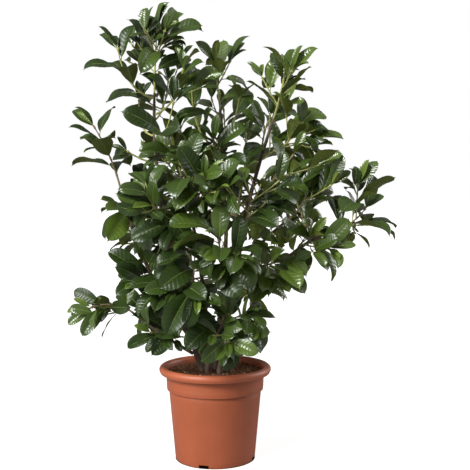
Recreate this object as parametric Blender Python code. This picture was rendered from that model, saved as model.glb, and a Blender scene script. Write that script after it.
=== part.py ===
# Potted cherry laurel: a many-stemmed evergreen shrub in a round terracotta-coloured plastic pot.
# Metres, +Z up, front towards -Y, origin at the middle of the pot's flat underside.

import math
import random

import bmesh
import bpy
import numpy as np
from mathutils import Matrix
from mathutils.bvhtree import BVHTree

# Pot: the common ten litre container, 28 cm across its rolled rim and 23.5 cm high.
POT_HEIGHT = 0.235
RIM_RADIUS = 0.1405
RIM_DEPTH = 0.019
MOUTH_RADIUS = 0.1225
NECK_RADIUS = 0.1242
BAND_FOOT_HEIGHT = 0.1805
BAND_FOOT_RADIUS = 0.1212
BODY_TOP_RADIUS = 0.1160
BASE_RADIUS = 0.1000
POT_WALL = 0.0026
POT_FLOOR = 0.0035
RIM_FOOT = POT_HEIGHT - RIM_DEPTH
STEP_FOOT = BAND_FOOT_HEIGHT - 0.006
ROLL_BEARINGS = (-50, -20, 15, 50, 90, 135)
POT_SIDES = 32
NOTCH_COUNT = 4
NOTCH_BEARING = math.radians(-105)
NOTCH_SIZE = (0.024, 0.025, 0.0080)

# Soil: filled to 13 mm under the rim, crowned by 3 mm round the stems.
SOIL_LEVEL = 0.222
SOIL_EDGE_DROP = 0.003
SOIL_FLAT_RADIUS = 0.062

# Which of its possible shapes the seeded rule gives.
SEED = 2500

# Clearance that parts which touch keep from each other.
SEAT = 0.0003

# Directions: one that no limb or twig runs in, one that is nearly upright, and the plant's front.
NO_TUBE_RUNS_THERE = np.array([0.31, 0.95, 0.05])
NEARLY_UP = np.array([0.1, 0.2, 1.0])
FRONT = np.array([0.0, -1.0, 0.0])

# Stems and boughs: round in section, thickest at the foot.
LIMB_SIDES = 6
LIMB_STEPS = 9
FLARE = 0.32
FLARE_HEIGHT = 0.035
LIMB_CLEARANCE = 0.0007

# Twigs: three-sided in section. A mass's stem lifts as it leaves its limb. Its side twigs start
# along its middle stretch, and have a share of its length.
TWIG_SIDES = 3
TWIG_STEPS = 3
SIDE_TWIG_STEPS = 2
TWIG_RADIUS = 0.0027
TWIG_TIP_RADIUS = 0.0014
SIDE_TWIG_RADIUS = 0.0019
STEM_LIFT = 0.25
SIDE_FIRST, SIDE_STRETCH, SIDE_JITTER = 0.25, 0.55, 0.04
SIDE_SHARE = (0.50, 0.68)
SIDE_TWIG_LEAST = 0.075
SIDE_SPREAD = 0.8 / 0.7
SIDE_LIFT = 0.10
SIDE_BARE = 0.28
LAST_LEAF = 0.97

# Leaves: leathery and obovate, about 110 mm with the stalk. Each value in pairs is drawn between the
# two, except that the lean off the twig, in degrees, goes from its first leaf to its last. Leaves face
# the sky, the brighter front and their twig's tip, and the plant's outside more the lower they stand.
LEAF_LENGTH = 0.118
LEAF_VARIES = (0.86, 1.10)
LEAF_FIRST_SIZE, LEAF_SIZE_LOSS = 1.03, 0.30
LEAF_LEAN = (62, 28)
LEAN_JITTER = 0.14
TURN_JITTER = 0.3
LEAF_DROOP = (0.35, 1.25)
DROOP_FIRST, DROOP_LOSS = 1.15, 0.45
LEAF_TWIST = (-0.5, 0.5)
LEAF_ROLL = 0.40
STEEPEST_FALL = -0.5
LEAF_LIFT = 0.12
TO_SKY, TO_FRONT, TO_TIP = 0.75, 0.50, 0.40
TO_OUTSIDE = (0.40, 0.10)
OUTSIDE_HEIGHTS = (0.35, 0.85)
LEAST_LEAVES = 4
LEAF_WIDTH_SHARE = 0.46
LEAF_THICKNESS_SHARE = 0.014
LEAF_SPACING = 0.0192
GOLDEN_TURN = math.radians(137.5)
LOW_SHARE, HIGH_SHARE = 0.34, 0.72
LOW_WIDTH, HIGH_WIDTH = 0.86, 0.94
STALK_CLEAR = 0.012
MIRRORED = (0, 2, 1, 4, 3, 5, 6, 7)

# A leaf or twig that has no room as it first falls is tried again at these turns about what bears
# it, a leaf then also at this share of its length.
OTHER_TURNS = (0.0, 0.5, -0.5, 1.0, -1.0, 1.6, -1.6, 2.3)
SMALLER = 0.84

# A mass's space: how far it reaches from its own stem and twigs, and how far past the middle between
# two masses a leaf may still go where the other mass has nothing. None comes near the pot or soil.
SPACE_REACH = 0.125
BORDER = 0.028
RIM_CLEARANCE = 0.004
SOIL_CLEARANCE = 0.006

# Each stem: foot on the soil (x, y), tip, how far its middle bows out, and radius at foot and tip.
STEMS = {
    "leader_stem": ((-0.032, 0.000), (-0.150, 0.000, 0.915), (-0.070, 0.000, 0.020), 0.0082, 0.0036),
    "right_stem": ((0.004, 0.004), (0.146, 0.010, 0.852), (-0.034, 0.000, 0.000), 0.0080, 0.0036),
    "middle_stem": ((-0.008, 0.030), (0.012, 0.050, 0.882), (0.050, 0.010, 0.000), 0.0072, 0.0034),
    "front_stem": ((-0.016, -0.026), (-0.078, -0.085, 0.708), (0.030, -0.030, 0.014), 0.0068, 0.0032),
    "right_bough": ((0.030, -0.012), (0.300, -0.030, 0.575), (-0.046, -0.020, 0.130), 0.0072, 0.0033),
    "back_stem": ((0.018, 0.042), (0.075, 0.200, 0.728), (-0.010, -0.040, 0.030), 0.0068, 0.0033),
    "back_left_stem": ((-0.038, 0.032), (-0.085, 0.185, 0.628), (0.000, -0.030, 0.030), 0.0064, 0.0031),
    "front_right_stem": ((0.012, -0.040), (0.070, -0.150, 0.568), (0.000, 0.030, 0.030), 0.0062, 0.0031),
}

# Each bough: the stem it leaves, at what share of its length, then tip, bow and radii as above.
BOUGHS = {
    "left_bough": ("leader_stem", 0.13, (-0.232, -0.030, 0.680), (-0.036, -0.010, -0.020), 0.0056, 0.0030),
    "low_left_bough": ("leader_stem", 0.06, (-0.205, -0.030, 0.372), (-0.012, -0.004, 0.000), 0.0044, 0.0028),
    "right_mid_bough": ("right_stem", 0.36, (0.182, -0.056, 0.604), (-0.010, -0.006, 0.020), 0.0044, 0.0028),
}

# Each mass of foliage: its limb, at what share of the limb its stem starts, where its stem ends,
# the bare share of that stem, how many side twigs it has, and its leaf size beside the usual one.
MASSES = {
    "leader_top": ("leader_stem", 1.00, (-0.142, -0.005, 1.070), 0.06, 3, 0.95),
    "leader_left": ("leader_stem", 0.98, (-0.236, -0.030, 1.020), 0.24, 0, 1.02),
    "leader_right": ("leader_stem", 0.92, (-0.076, -0.045, 0.965), 0.30, 1, 0.90),
    "leader_back": ("leader_stem", 0.90, (-0.125, 0.120, 0.960), 0.25, 2, 0.95),
    "leader_mid_left": ("leader_stem", 0.84, (-0.190, 0.020, 0.900), 0.25, 0, 0.88),
    "leader_low_left": ("leader_stem", 0.74, (-0.215, -0.020, 0.770), 0.25, 0, 0.95),
    "leader_front": ("leader_stem", 0.80, (-0.095, -0.110, 0.880), 0.25, 0, 1.0),
    "middle_top": ("middle_stem", 1.00, (0.000, 0.030, 0.990), 0.15, 1, 0.95),
    "middle_right": ("middle_stem", 0.90, (0.060, -0.020, 0.900), 0.30, 0, 0.9),
    "middle_left": ("middle_stem", 0.84, (-0.058, 0.010, 0.930), 0.30, 0, 1.0),
    "middle_back": ("middle_stem", 0.84, (0.020, 0.155, 0.890), 0.25, 1, 1.0),
    "middle_front": ("middle_stem", 0.72, (0.000, -0.090, 0.790), 0.35, 1, 1.0),
    "right_top": ("right_stem", 1.00, (0.170, 0.000, 0.948), 0.10, 2, 0.95),
    "right_shoulder": ("right_stem", 0.86, (0.212, -0.050, 0.834), 0.30, 2, 1.0),
    "right_inner": ("right_stem", 0.88, (0.130, -0.030, 0.838), 0.30, 1, 1.00),
    "right_back": ("right_stem", 0.84, (0.190, 0.130, 0.830), 0.25, 2, 1.0),
    "right_front": ("right_stem", 0.70, (0.186, -0.110, 0.755), 0.25, 2, 1.0),
    "front_top": ("front_stem", 1.00, (-0.096, -0.100, 0.808), 0.15, 2, 1.0),
    "front_mid": ("front_stem", 0.84, (-0.020, -0.190, 0.700), 0.30, 3, 1.08),
    "front_left": ("front_stem", 0.74, (-0.145, -0.160, 0.650), 0.30, 2, 1.05),
    "front_low": ("front_stem", 0.48, (-0.080, -0.190, 0.450), 0.30, 3, 1.05),
    "left_upper": ("left_bough", 1.00, (-0.296, -0.030, 0.830), 0.20, 0, 1.0),
    "left_mid": ("left_bough", 0.86, (-0.225, -0.090, 0.630), 0.20, 1, 0.95),
    "left_low": ("left_bough", 0.42, (-0.168, -0.080, 0.500), 0.30, 2, 0.95),
    "left_back": ("left_bough", 0.66, (-0.190, 0.120, 0.640), 0.25, 2, 1.0),
    "low_left_tip": ("low_left_bough", 1.00, (-0.300, -0.060, 0.388), 0.15, 2, 0.85),
    "low_left_skirt": ("low_left_bough", 0.40, (-0.100, -0.090, 0.332), 0.20, 3, 0.95),
    "low_left_back": ("low_left_bough", 0.80, (-0.180, 0.110, 0.400), 0.25, 2, 0.95),
    "far_right": ("right_bough", 1.00, (0.374, -0.010, 0.628), 0.12, 2, 1.10),
    "right_hanging": ("right_bough", 0.72, (0.225, -0.100, 0.560), 0.20, 1, 1.0),
    "right_low_front": ("right_bough", 0.50, (0.125, -0.140, 0.500), 0.25, 1, 1.0),
    "right_low": ("right_bough", 0.34, (0.085, -0.020, 0.430), 0.20, 1, 0.95),
    "right_outer_back": ("right_bough", 0.82, (0.220, 0.110, 0.640), 0.25, 2, 1.0),
    "right_mid": ("right_mid_bough", 1.00, (0.225, -0.055, 0.675), 0.10, 2, 0.95),
    "front_right_top": ("front_right_stem", 1.00, (0.090, -0.180, 0.685), 0.15, 3, 1.0),
    "front_right_mid": ("front_right_stem", 0.78, (0.015, -0.220, 0.560), 0.30, 3, 1.08),
    "front_right_low": ("front_right_stem", 0.36, (0.020, -0.160, 0.370), 0.30, 3, 1.05),
    "back_top": ("back_stem", 1.00, (0.080, 0.230, 0.830), 0.15, 1, 1.0),
    "back_right": ("back_stem", 0.80, (0.190, 0.210, 0.650), 0.25, 2, 1.0),
    "back_mid": ("back_stem", 0.74, (0.020, 0.270, 0.645), 0.25, 2, 1.0),
    "back_low": ("back_stem", 0.48, (0.120, 0.180, 0.430), 0.25, 2, 1.0),
    "back_left_top": ("back_left_stem", 1.00, (-0.110, 0.210, 0.745), 0.15, 2, 1.0),
    "back_left_mid": ("back_left_stem", 0.74, (-0.180, 0.210, 0.530), 0.25, 2, 1.0),
    "back_left_low": ("back_left_stem", 0.48, (-0.040, 0.230, 0.430), 0.25, 2, 1.0),
}


def unit(vector):
    """The vector at length one."""
    return vector / np.linalg.norm(vector)


def turned(vector, axis, angle):
    """The vector turned about a unit axis, by Rodrigues' formula."""
    along = axis * np.dot(axis, vector)
    return along + (vector - along) * math.cos(angle) + np.cross(axis, vector) * math.sin(angle)


def square_to(vector, axis):
    """The part of the vector that is at right angles to the unit axis, at length one."""
    return unit(vector - axis * np.dot(axis, vector))


def bent_line(start, middle, end, steps):
    """Points of the quadratic curve that starts and ends at two points and leans towards a third."""
    t = np.linspace(0, 1, steps + 1)[:, None]
    return (1 - t) ** 2 * start + 2 * t * (1 - t) * middle + t**2 * end


def tangents(points):
    """The unit direction of a line at each of its points."""
    along = np.gradient(points, axis=0)
    return along / np.linalg.norm(along, axis=1)[:, None]


def point_at(points, share):
    """The point and the direction at a share of a line's steps."""
    place = share * (len(points) - 1)
    low = min(int(place), len(points) - 2)
    part = place - low
    directions = tangents(points)
    point = points[low] * (1 - part) + points[low + 1] * part
    return point, unit(directions[low] * (1 - part) + directions[low + 1] * part)


def tube(points, radii, sides, start_normal=None):
    """Vertices and faces of a closed tapering tube. Its first ring can lie square to a given direction."""
    directions = tangents(points)
    if start_normal is not None:
        directions[0] = start_normal
    across = square_to(NO_TUBE_RUNS_THERE, directions[0])
    vertices = []
    for point, direction, radius in zip(points, directions, radii):
        across = square_to(across, direction)
        other = np.cross(direction, across)
        for side in range(sides):
            angle = 2 * math.pi * side / sides
            vertices.append(point + radius * (across * math.cos(angle) + other * math.sin(angle)))
    faces = [tuple(reversed(range(sides)))]
    for ring in range(len(points) - 1):
        low, high = ring * sides, (ring + 1) * sides
        for side in range(sides):
            after = (side + 1) % sides
            faces.append((low + side, low + after, high + after, high + side))
    last = (len(points) - 1) * sides
    faces.append(tuple(last + side for side in range(sides)))
    return np.array(vertices), faces


def limb_radii(points, foot_radius, tip_radius, flare):
    """Radius at each point of a limb: an even taper, and a root flare that dies out above the soil."""
    share = np.linspace(0, 1, len(points))
    radii = foot_radius + (tip_radius - foot_radius) * share
    rise = np.linalg.norm(points - points[0], axis=1)
    return radii * (1 + flare * np.exp(-rise / FLARE_HEIGHT))


def leave_limb(limb, share, towards):
    """Where something that grows towards a point leaves a limb: its first point and outward direction."""
    centre, along = point_at(limb["points"], share)
    if share >= 1:
        return centre + along * SEAT, along
    out = square_to(towards - centre, along)
    radius = float(np.interp(share * LIMB_STEPS, range(LIMB_STEPS + 1), limb["radii"]))
    return centre + out * (radius + SEAT), out


def grow_limbs():
    """The line and radii of every stem and bough."""
    limbs = {}
    for name, (foot, tip, bow, foot_radius, tip_radius) in STEMS.items():
        start = np.array([foot[0], foot[1], SOIL_LEVEL + SEAT])
        tip = np.array(tip)
        points = bent_line(start, (start + tip) / 2 + np.array(bow), tip, LIMB_STEPS)
        radii = limb_radii(points, foot_radius, tip_radius, FLARE)
        limbs[name] = {"points": points, "radii": radii, "normal": np.array([0.0, 0.0, 1.0])}
    for name, (parent, share, tip, bow, foot_radius, tip_radius) in BOUGHS.items():
        tip = np.array(tip)
        start, out = leave_limb(limbs[parent], share, tip)
        points = bent_line(start, (start + tip) / 2 + np.array(bow), tip, LIMB_STEPS)
        radii = limb_radii(points, foot_radius, tip_radius, 0.0)
        limbs[name] = {"points": points, "radii": radii, "normal": out}
    return limbs


def stem_line(limbs, limb, share, tip):
    """The line of a mass's own stem: it leaves the limb and lifts towards the light as it goes."""
    tip = np.array(tip)
    start, out = leave_limb(limbs[limb], share, tip)
    reach = np.linalg.norm(tip - start)
    lean = out if share >= 1 else unit(out + np.array([0.0, 0.0, STEM_LIFT]))
    return bent_line(start, start + lean * reach * 0.5, tip, TWIG_STEPS), out


def leaf_shape(root, along, up, length, droop, twist):
    """Vertices and faces of one leaf: its stalk's end, four corners of its outline, its tip, and two
    keels under it. The midrib is an arc that bends down by the droop angle, and the blade turns about
    it by the twist angle, so the blade is split along the diagonal that stands higher."""
    side = np.cross(along, up)

    def place(share, across, lift):
        bend = droop * share
        reach = length / droop
        middle = root + along * (reach * math.sin(bend)) - up * (reach * (1 - math.cos(bend)))
        forward = along * math.cos(bend) - up * math.sin(bend)
        normal = up * math.cos(bend) + along * math.sin(bend)
        sideways = turned(side, forward, twist * share)
        normal = turned(normal, forward, twist * share)
        return middle + sideways * across + normal * lift

    half = length * LEAF_WIDTH_SHARE / 2
    thick = length * LEAF_THICKNESS_SHARE
    vertices = [
        place(0, 0, 0),
        place(LOW_SHARE, -half * LOW_WIDTH, 0),
        place(LOW_SHARE, half * LOW_WIDTH, 0),
        place(HIGH_SHARE, -half * HIGH_WIDTH, 0),
        place(HIGH_SHARE, half * HIGH_WIDTH, 0),
        place(1, 0, 0),
        place(LOW_SHARE, 0, -thick),
        place(HIGH_SHARE, 0, -thick),
    ]
    over = [(0, 2, 1), (1, 2, 4), (1, 4, 3), (3, 4, 5)]
    under = [(0, 1, 6), (2, 0, 6), (1, 3, 7), (1, 7, 6), (4, 2, 6), (4, 6, 7), (3, 5, 7), (5, 4, 7)]
    faces = over + under
    if twist > 0:
        faces = [tuple(MIRRORED[corner] for corner in reversed(face)) for face in faces]
    return np.array(vertices), faces


def leaf_frame(twig, share, turn, lean, roll):
    """A leaf's root and directions: it leans off its twig at an angle, and its face turns to the light."""
    root, along_twig = point_at(twig, share)
    sky = np.array([0.0, 0.0, 1.0])
    level = sky if abs(along_twig[2]) < 0.9 else np.array([1.0, 0.0, 0.0])
    out = turned(square_to(level, along_twig), along_twig, turn)
    along = along_twig * math.cos(lean) + out * math.sin(lean)
    along[2] = max(along[2], STEEPEST_FALL) + LEAF_LIFT
    along = unit(along)
    outside = unit(np.array([root[0], root[1], 0.0]))
    to_outside = float(np.interp(root[2], OUTSIDE_HEIGHTS, TO_OUTSIDE))
    light = sky * TO_SKY + FRONT * TO_FRONT + outside * to_outside
    up = square_to(light + along_twig * TO_TIP, along)
    return root, along, turned(up, along, roll)


class Room:
    """Knows what has grown, and tells whether a leaf or twig keeps to its mass's own space and
    touches nothing."""

    def __init__(self, limbs, axes, pot):
        self.names = list(axes)
        self.starts = np.concatenate([line[:-1] for line in axes.values()])
        self.ends = np.concatenate([line[1:] for line in axes.values()])
        self.owner = np.repeat(np.arange(len(axes)), [len(line) - 1 for line in axes.values()])
        self.fixed = [
            search_tree(tube(limb["points"], limb["radii"] + LIMB_CLEARANCE, LIMB_SIDES))
            for limb in limbs.values()
        ]
        self.fixed.append(search_tree(pot))
        self.grown, self.growers, self.middles, self.reaches = [], [], [], []

    def gaps(self, points):
        """How far each point is from the stem of each mass."""
        run = self.ends - self.starts
        offset = points[:, None, :] - self.starts[None]
        share = np.clip((offset * run).sum(2) / (run * run).sum(1), 0, 1)
        gaps = np.linalg.norm(offset - run * share[..., None], axis=2)
        return np.stack([gaps[:, self.owner == i].min(1) for i in range(len(self.names))], axis=1)

    def in_space(self, name, points):
        mine = self.names.index(name)
        gaps = self.gaps(points)
        others = np.delete(gaps, mine, axis=1).min(1)
        own = gaps[:, mine]
        if (own > SPACE_REACH).any() or (own > others + BORDER).any():
            return False
        radius = np.hypot(points[:, 0], points[:, 1])
        over = points[:, 2] > POT_HEIGHT + RIM_CLEARANCE
        outside = radius > RIM_RADIUS + RIM_CLEARANCE
        inside = (radius < MOUTH_RADIUS - RIM_CLEARANCE) & (points[:, 2] > SOIL_LEVEL + SOIL_CLEARANCE)
        return bool((over | outside | inside).all())

    def is_free(self, name, shape, clear):
        """Whether a shape meets no limb, no pot and nothing of other masses, and its stretch that is
        clear of what bears it meets nothing of its own mass."""
        tree, clear_tree = search_tree(shape), search_tree(clear)
        if any(tree.overlap(other) for other in self.fixed):
            return False
        middle, reach = ball(shape[0])
        apart = np.linalg.norm(np.array(self.middles) - middle, axis=1)
        for index in np.flatnonzero(apart < np.array(self.reaches) + reach):
            mine = self.growers[index] == name
            if (clear_tree if mine else tree).overlap(self.grown[index]):
                return False
        return True

    def add(self, name, shape):
        middle, reach = ball(shape[0])
        self.grown.append(search_tree(shape))
        self.growers.append(name)
        self.middles.append(middle)
        self.reaches.append(reach)


def ball(points):
    """The middle and radius of a ball that holds some points."""
    middle = points.mean(axis=0)
    return middle, np.linalg.norm(points - middle, axis=1).max()


def search_tree(shape):
    vertices, faces = shape
    return BVHTree.FromPolygons([tuple(map(float, vertex)) for vertex in vertices], faces)


def trimmed(line, length):
    """The line without its first stretch."""
    run = np.concatenate([[0], np.cumsum(np.linalg.norm(np.diff(line, axis=0), axis=1))])
    marks = np.linspace(min(length, run[-1] * 0.5), run[-1], len(line))
    return np.stack([np.interp(marks, run, line[:, axis]) for axis in range(3)], axis=1)


def grow_side_twigs(name, stem, count, room, draw):
    """Side twigs that leave a mass's stem by the golden turn, each leaning up and out."""
    lines = []
    reach = np.linalg.norm(stem[-1] - stem[0])
    turn = draw.uniform(0, 2 * math.pi)
    for index in range(count):
        share = SIDE_FIRST + SIDE_STRETCH * (index + 0.5) / count + draw.uniform(-SIDE_JITTER, SIDE_JITTER)
        turn += GOLDEN_TURN
        length = max(reach * draw.uniform(*SIDE_SHARE), SIDE_TWIG_LEAST)
        for other in OTHER_TURNS:
            root, along = point_at(stem, share)
            out = turned(square_to(NEARLY_UP, along), along, turn + other)
            aim = unit(along + out * SIDE_SPREAD)
            tip = root + aim * length + np.array([0.0, 0.0, SIDE_LIFT * length])
            line = bent_line(root, root + aim * length * 0.5, tip, SIDE_TWIG_STEPS)
            twig = twig_tube(line, SIDE_TWIG_RADIUS)
            clear = twig_tube(trimmed(line, STALK_CLEAR), SIDE_TWIG_RADIUS)
            if room.in_space(name, line[1:]) and room.is_free(name, twig, clear):
                lines.append(line)
                room.add(name, twig)
                break
    return lines


def twig_tube(line, radius, start_normal=None):
    return tube(line, np.linspace(radius, TWIG_TIP_RADIUS, len(line)), TWIG_SIDES, start_normal)


def grow_mass(name, stem, room, draw):
    """The lines of a mass's twigs, its own stem first, and its leaves, by the golden turn along each
    twig and smaller towards the tip."""
    _, _, _, bare, sides, size = MASSES[name]
    twigs = [(stem, bare)] + [(line, SIDE_BARE) for line in grow_side_twigs(name, stem, sides, room, draw)]
    leaves = []
    for line, first in twigs:
        length = np.linalg.norm(np.diff(line, axis=0), axis=1).sum()
        count = max(LEAST_LEAVES, round(length * (1 - first) / LEAF_SPACING))
        turn = draw.uniform(0, 2 * math.pi)
        for number in range(count):
            share = number / (count - 1)
            turn += GOLDEN_TURN + draw.uniform(-TURN_JITTER, TURN_JITTER)
            lean = math.radians(LEAF_LEAN[0] + (LEAF_LEAN[1] - LEAF_LEAN[0]) * share)
            lean += draw.uniform(-LEAN_JITTER, LEAN_JITTER)
            length = LEAF_LENGTH * size * (LEAF_FIRST_SIZE - LEAF_SIZE_LOSS * share**2.5)
            length *= draw.uniform(*LEAF_VARIES)
            droop = draw.uniform(*LEAF_DROOP) * (DROOP_FIRST - DROOP_LOSS * share)
            twist, roll = draw.uniform(*LEAF_TWIST), draw.gauss(0, LEAF_ROLL)
            place = first + (LAST_LEAF - first) * share
            for scale in (1, SMALLER):
                leaf = fit_leaf(name, line, place, turn, lean, roll, length * scale, droop, twist, room)
                if leaf:
                    leaves.append(leaf)
                    break
    return [line for line, _ in twigs], leaves


def fit_leaf(name, line, place, turn, lean, roll, length, droop, twist, room):
    """The leaf at the first turn where it has room, or nothing."""
    for other in OTHER_TURNS:
        root, along, up = leaf_frame(line, place, turn + other, lean, roll)
        leaf = leaf_shape(root, along, up, length, droop, twist)
        clear = (leaf[0].copy(), leaf[1])
        clear[0][0] += (leaf[0][6] - leaf[0][0]) * (STALK_CLEAR / (length * LOW_SHARE))
        if room.in_space(name, leaf[0][1:]) and room.is_free(name, leaf, clear):
            room.add(name, leaf)
            return leaf
    return None


def new_material(name, colour, roughness):
    material = bpy.data.materials.new(name)
    material.use_nodes = True
    shader = material.node_tree.nodes["Principled BSDF"]
    shader.inputs["Base Color"].default_value = (*colour, 1)
    shader.inputs["Roughness"].default_value = roughness
    shader.inputs["Metallic"].default_value = 0
    return material


def new_object(name, vertices, faces, material):
    mesh = bpy.data.meshes.new(name)
    mesh.from_pydata([tuple(vertex) for vertex in vertices], [], faces)
    mesh.materials.append(material)
    obj = bpy.data.objects.new(name, mesh)
    bpy.context.scene.collection.objects.link(obj)
    return obj


def keep_largest_island(mesh):
    """Drops loose scraps and the walls of sealed hollows, which fusing can leave."""
    edit = bmesh.new()
    edit.from_mesh(mesh)
    left = set(edit.verts)
    islands = []
    while left:
        island, front = set(), [left.pop()]
        while front:
            vertex = front.pop()
            island.add(vertex)
            for edge in vertex.link_edges:
                other = edge.other_vert(vertex)
                if other in left:
                    left.remove(other)
                    front.append(other)
        islands.append(island)
    islands.sort(key=len)
    scraps = [vertex for island in islands[:-1] for vertex in island]
    bmesh.ops.delete(edit, geom=scraps, context="VERTS")
    edit.to_mesh(mesh)
    edit.free()


def fuse(name, shapes, material):
    """Joins a mass's stem, twigs and leaves into one solid with a single Boolean union."""
    parts = bpy.data.collections.new(name + " parts")
    bpy.context.scene.collection.children.link(parts)
    obj = new_object(name, *shapes[0], material)
    for index, shape in enumerate(shapes[1:]):
        piece = new_object(f"{name} piece {index}", *shape, material)
        bpy.context.scene.collection.objects.unlink(piece)
        parts.objects.link(piece)
    union = obj.modifiers.new("Union", "BOOLEAN")
    union.operation = "UNION"
    union.operand_type = "COLLECTION"
    union.collection = parts
    union.solver = "EXACT"
    graph = bpy.context.evaluated_depsgraph_get()
    mesh = bpy.data.meshes.new_from_object(obj.evaluated_get(graph))
    obj.modifiers.clear()
    obj.data = mesh
    mesh.name = name
    keep_largest_island(mesh)
    for piece in list(parts.objects):
        bpy.data.objects.remove(piece)
    bpy.data.collections.remove(parts)
    return obj


def spun(profile, sides):
    """Vertices and faces of a profile of (radius, height) turned about the pot's axis, closed at both
    ends where the radius is zero. The profile runs up the outside and comes back down the inside."""
    vertices, rings = [], []
    for radius, height in profile:
        if radius == 0:
            rings.append([len(vertices)] * sides)
            vertices.append((0.0, 0.0, height))
            continue
        rings.append(list(range(len(vertices), len(vertices) + sides)))
        for side in range(sides):
            angle = 2 * math.pi * side / sides
            vertices.append((radius * math.cos(angle), radius * math.sin(angle), height))
    faces = []
    for low, high in zip(rings, rings[1:]):
        for side in range(sides):
            after = (side + 1) % sides
            corners = [low[side], low[after], high[after], high[side]]
            faces.append(tuple(dict.fromkeys(corners)))
    return np.array(vertices), faces


def inner_wall():
    """The pot's inner wall as (radius, height) from its floor up to its mouth."""
    return [
        (BASE_RADIUS - POT_WALL, POT_FLOOR),
        (BODY_TOP_RADIUS - POT_WALL, STEP_FOOT),
        (BAND_FOOT_RADIUS - POT_WALL, BAND_FOOT_HEIGHT),
        (MOUTH_RADIUS, RIM_FOOT + 0.008),
    ]


def pot_profile():
    """The pot's wall, from the middle of its underside out, up, over its rolled rim and down inside."""
    profile = [
        (0.0, 0.0),
        (BASE_RADIUS, 0.0),
        (BODY_TOP_RADIUS, STEP_FOOT),
        (BAND_FOOT_RADIUS, BAND_FOOT_HEIGHT),
        (NECK_RADIUS, RIM_FOOT + 0.010),
        (RIM_RADIUS - 0.0065, RIM_FOOT + 0.010),
        (RIM_RADIUS - 0.0045, RIM_FOOT),
    ]
    middle = ((MOUTH_RADIUS + RIM_RADIUS) / 2, RIM_FOOT + RIM_DEPTH / 2)
    half = ((RIM_RADIUS - MOUTH_RADIUS) / 2, RIM_DEPTH / 2)
    for degrees in ROLL_BEARINGS:
        angle = math.radians(degrees)
        profile.append((middle[0] + half[0] * math.cos(angle), middle[1] + half[1] * math.sin(angle)))
    return profile + list(reversed(inner_wall())) + [(0.0, POT_FLOOR)]


def build_pot(material):
    """The pot, with drainage notches cut into the edge it stands on."""
    pot = new_object("pot", *spun(pot_profile(), POT_SIDES), material)
    for index in range(NOTCH_COUNT):
        bearing = NOTCH_BEARING + index * 2 * math.pi / NOTCH_COUNT
        bpy.ops.mesh.primitive_cube_add(size=1)
        cutter = bpy.context.object
        cutter.name = f"notch cutter {index}"
        cutter.data.transform(Matrix.Diagonal((NOTCH_SIZE[0], NOTCH_SIZE[1], NOTCH_SIZE[2] * 2, 1)))
        cutter.location = (BASE_RADIUS * math.cos(bearing), BASE_RADIUS * math.sin(bearing), 0)
        cutter.rotation_euler = (0, 0, bearing)
        cutter.hide_render = True
        cutter.display_type = "WIRE"
        cut = pot.modifiers.new(f"Notch {index}", "BOOLEAN")
        cut.operation = "DIFFERENCE"
        cut.object = cutter
        cut.solver = "EXACT"
    pot.data.shade_smooth()
    pot.data.set_sharp_from_angle(angle=math.radians(35))
    return pot


def build_soil(material):
    """The soil that fills the pot, crowned a little round the stems."""
    edge = SOIL_LEVEL - SOIL_EDGE_DROP
    wall = [(radius - SEAT, height) for radius, height in inner_wall()]
    edge_radius = float(np.interp(edge, *zip(*[(height, radius) for radius, height in wall])))
    profile = [(0.0, POT_FLOOR + SEAT), (wall[0][0], POT_FLOOR + SEAT)]
    profile += wall[1:3] + [(edge_radius, edge), (SOIL_FLAT_RADIUS, SOIL_LEVEL), (0.0, SOIL_LEVEL)]
    return new_object("soil", *spun(profile, POT_SIDES), material)


def build_limb(name, limb, material):
    shape = tube(limb["points"], limb["radii"], LIMB_SIDES, limb["normal"])
    obj = new_object(name, *shape, material)
    obj.data.shade_smooth()
    obj.data.set_sharp_from_angle(angle=math.radians(50))
    return obj


def clear_scene():
    for obj in list(bpy.data.objects):
        bpy.data.objects.remove(obj)


def grow_masses(limbs):
    """The shapes of every mass: its twigs, then its leaves, each mass grown in its own space."""
    axes, normals = {}, {}
    for name, (limb, share, tip, _, _, _) in MASSES.items():
        axes[name], normals[name] = stem_line(limbs, limb, share, tip)
    room = Room(limbs, axes, spun(pot_profile(), POT_SIDES))
    for name, stem in axes.items():
        room.add(name, twig_tube(stem, TWIG_RADIUS))
    masses = {}
    for number, name in enumerate(MASSES):
        draw = random.Random(SEED + number)
        lines, leaves = grow_mass(name, axes[name], room, draw)
        twigs = [twig_tube(lines[0], TWIG_RADIUS, normals[name])]
        twigs += [twig_tube(line, SIDE_TWIG_RADIUS) for line in lines[1:]]
        masses[name] = (twigs, leaves)
    return masses


def main():
    clear_scene()
    terracotta = new_material("terracotta plastic", (0.42, 0.115, 0.052), 0.45)
    peat = new_material("potting soil", (0.030, 0.018, 0.012), 0.95)
    bark = new_material("laurel bark", (0.085, 0.060, 0.040), 0.8)
    foliage = new_material("laurel leaf", (0.045, 0.110, 0.022), 0.35)
    build_pot(terracotta)
    build_soil(peat)
    limbs = grow_limbs()
    for name, limb in limbs.items():
        build_limb(name, limb, bark)
    for name, (twigs, leaves) in grow_masses(limbs).items():
        fuse("foliage_" + name, twigs + leaves, foliage)


main()
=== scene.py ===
# Potted cherry laurel: leaves, twigs, bark, pot and soil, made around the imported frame.
# Metres, +Z up, front towards -Y, the origin at the middle of the pot's flat underside.
import math
import random
from collections import namedtuple
from itertools import combinations
from types import SimpleNamespace as Table

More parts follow.
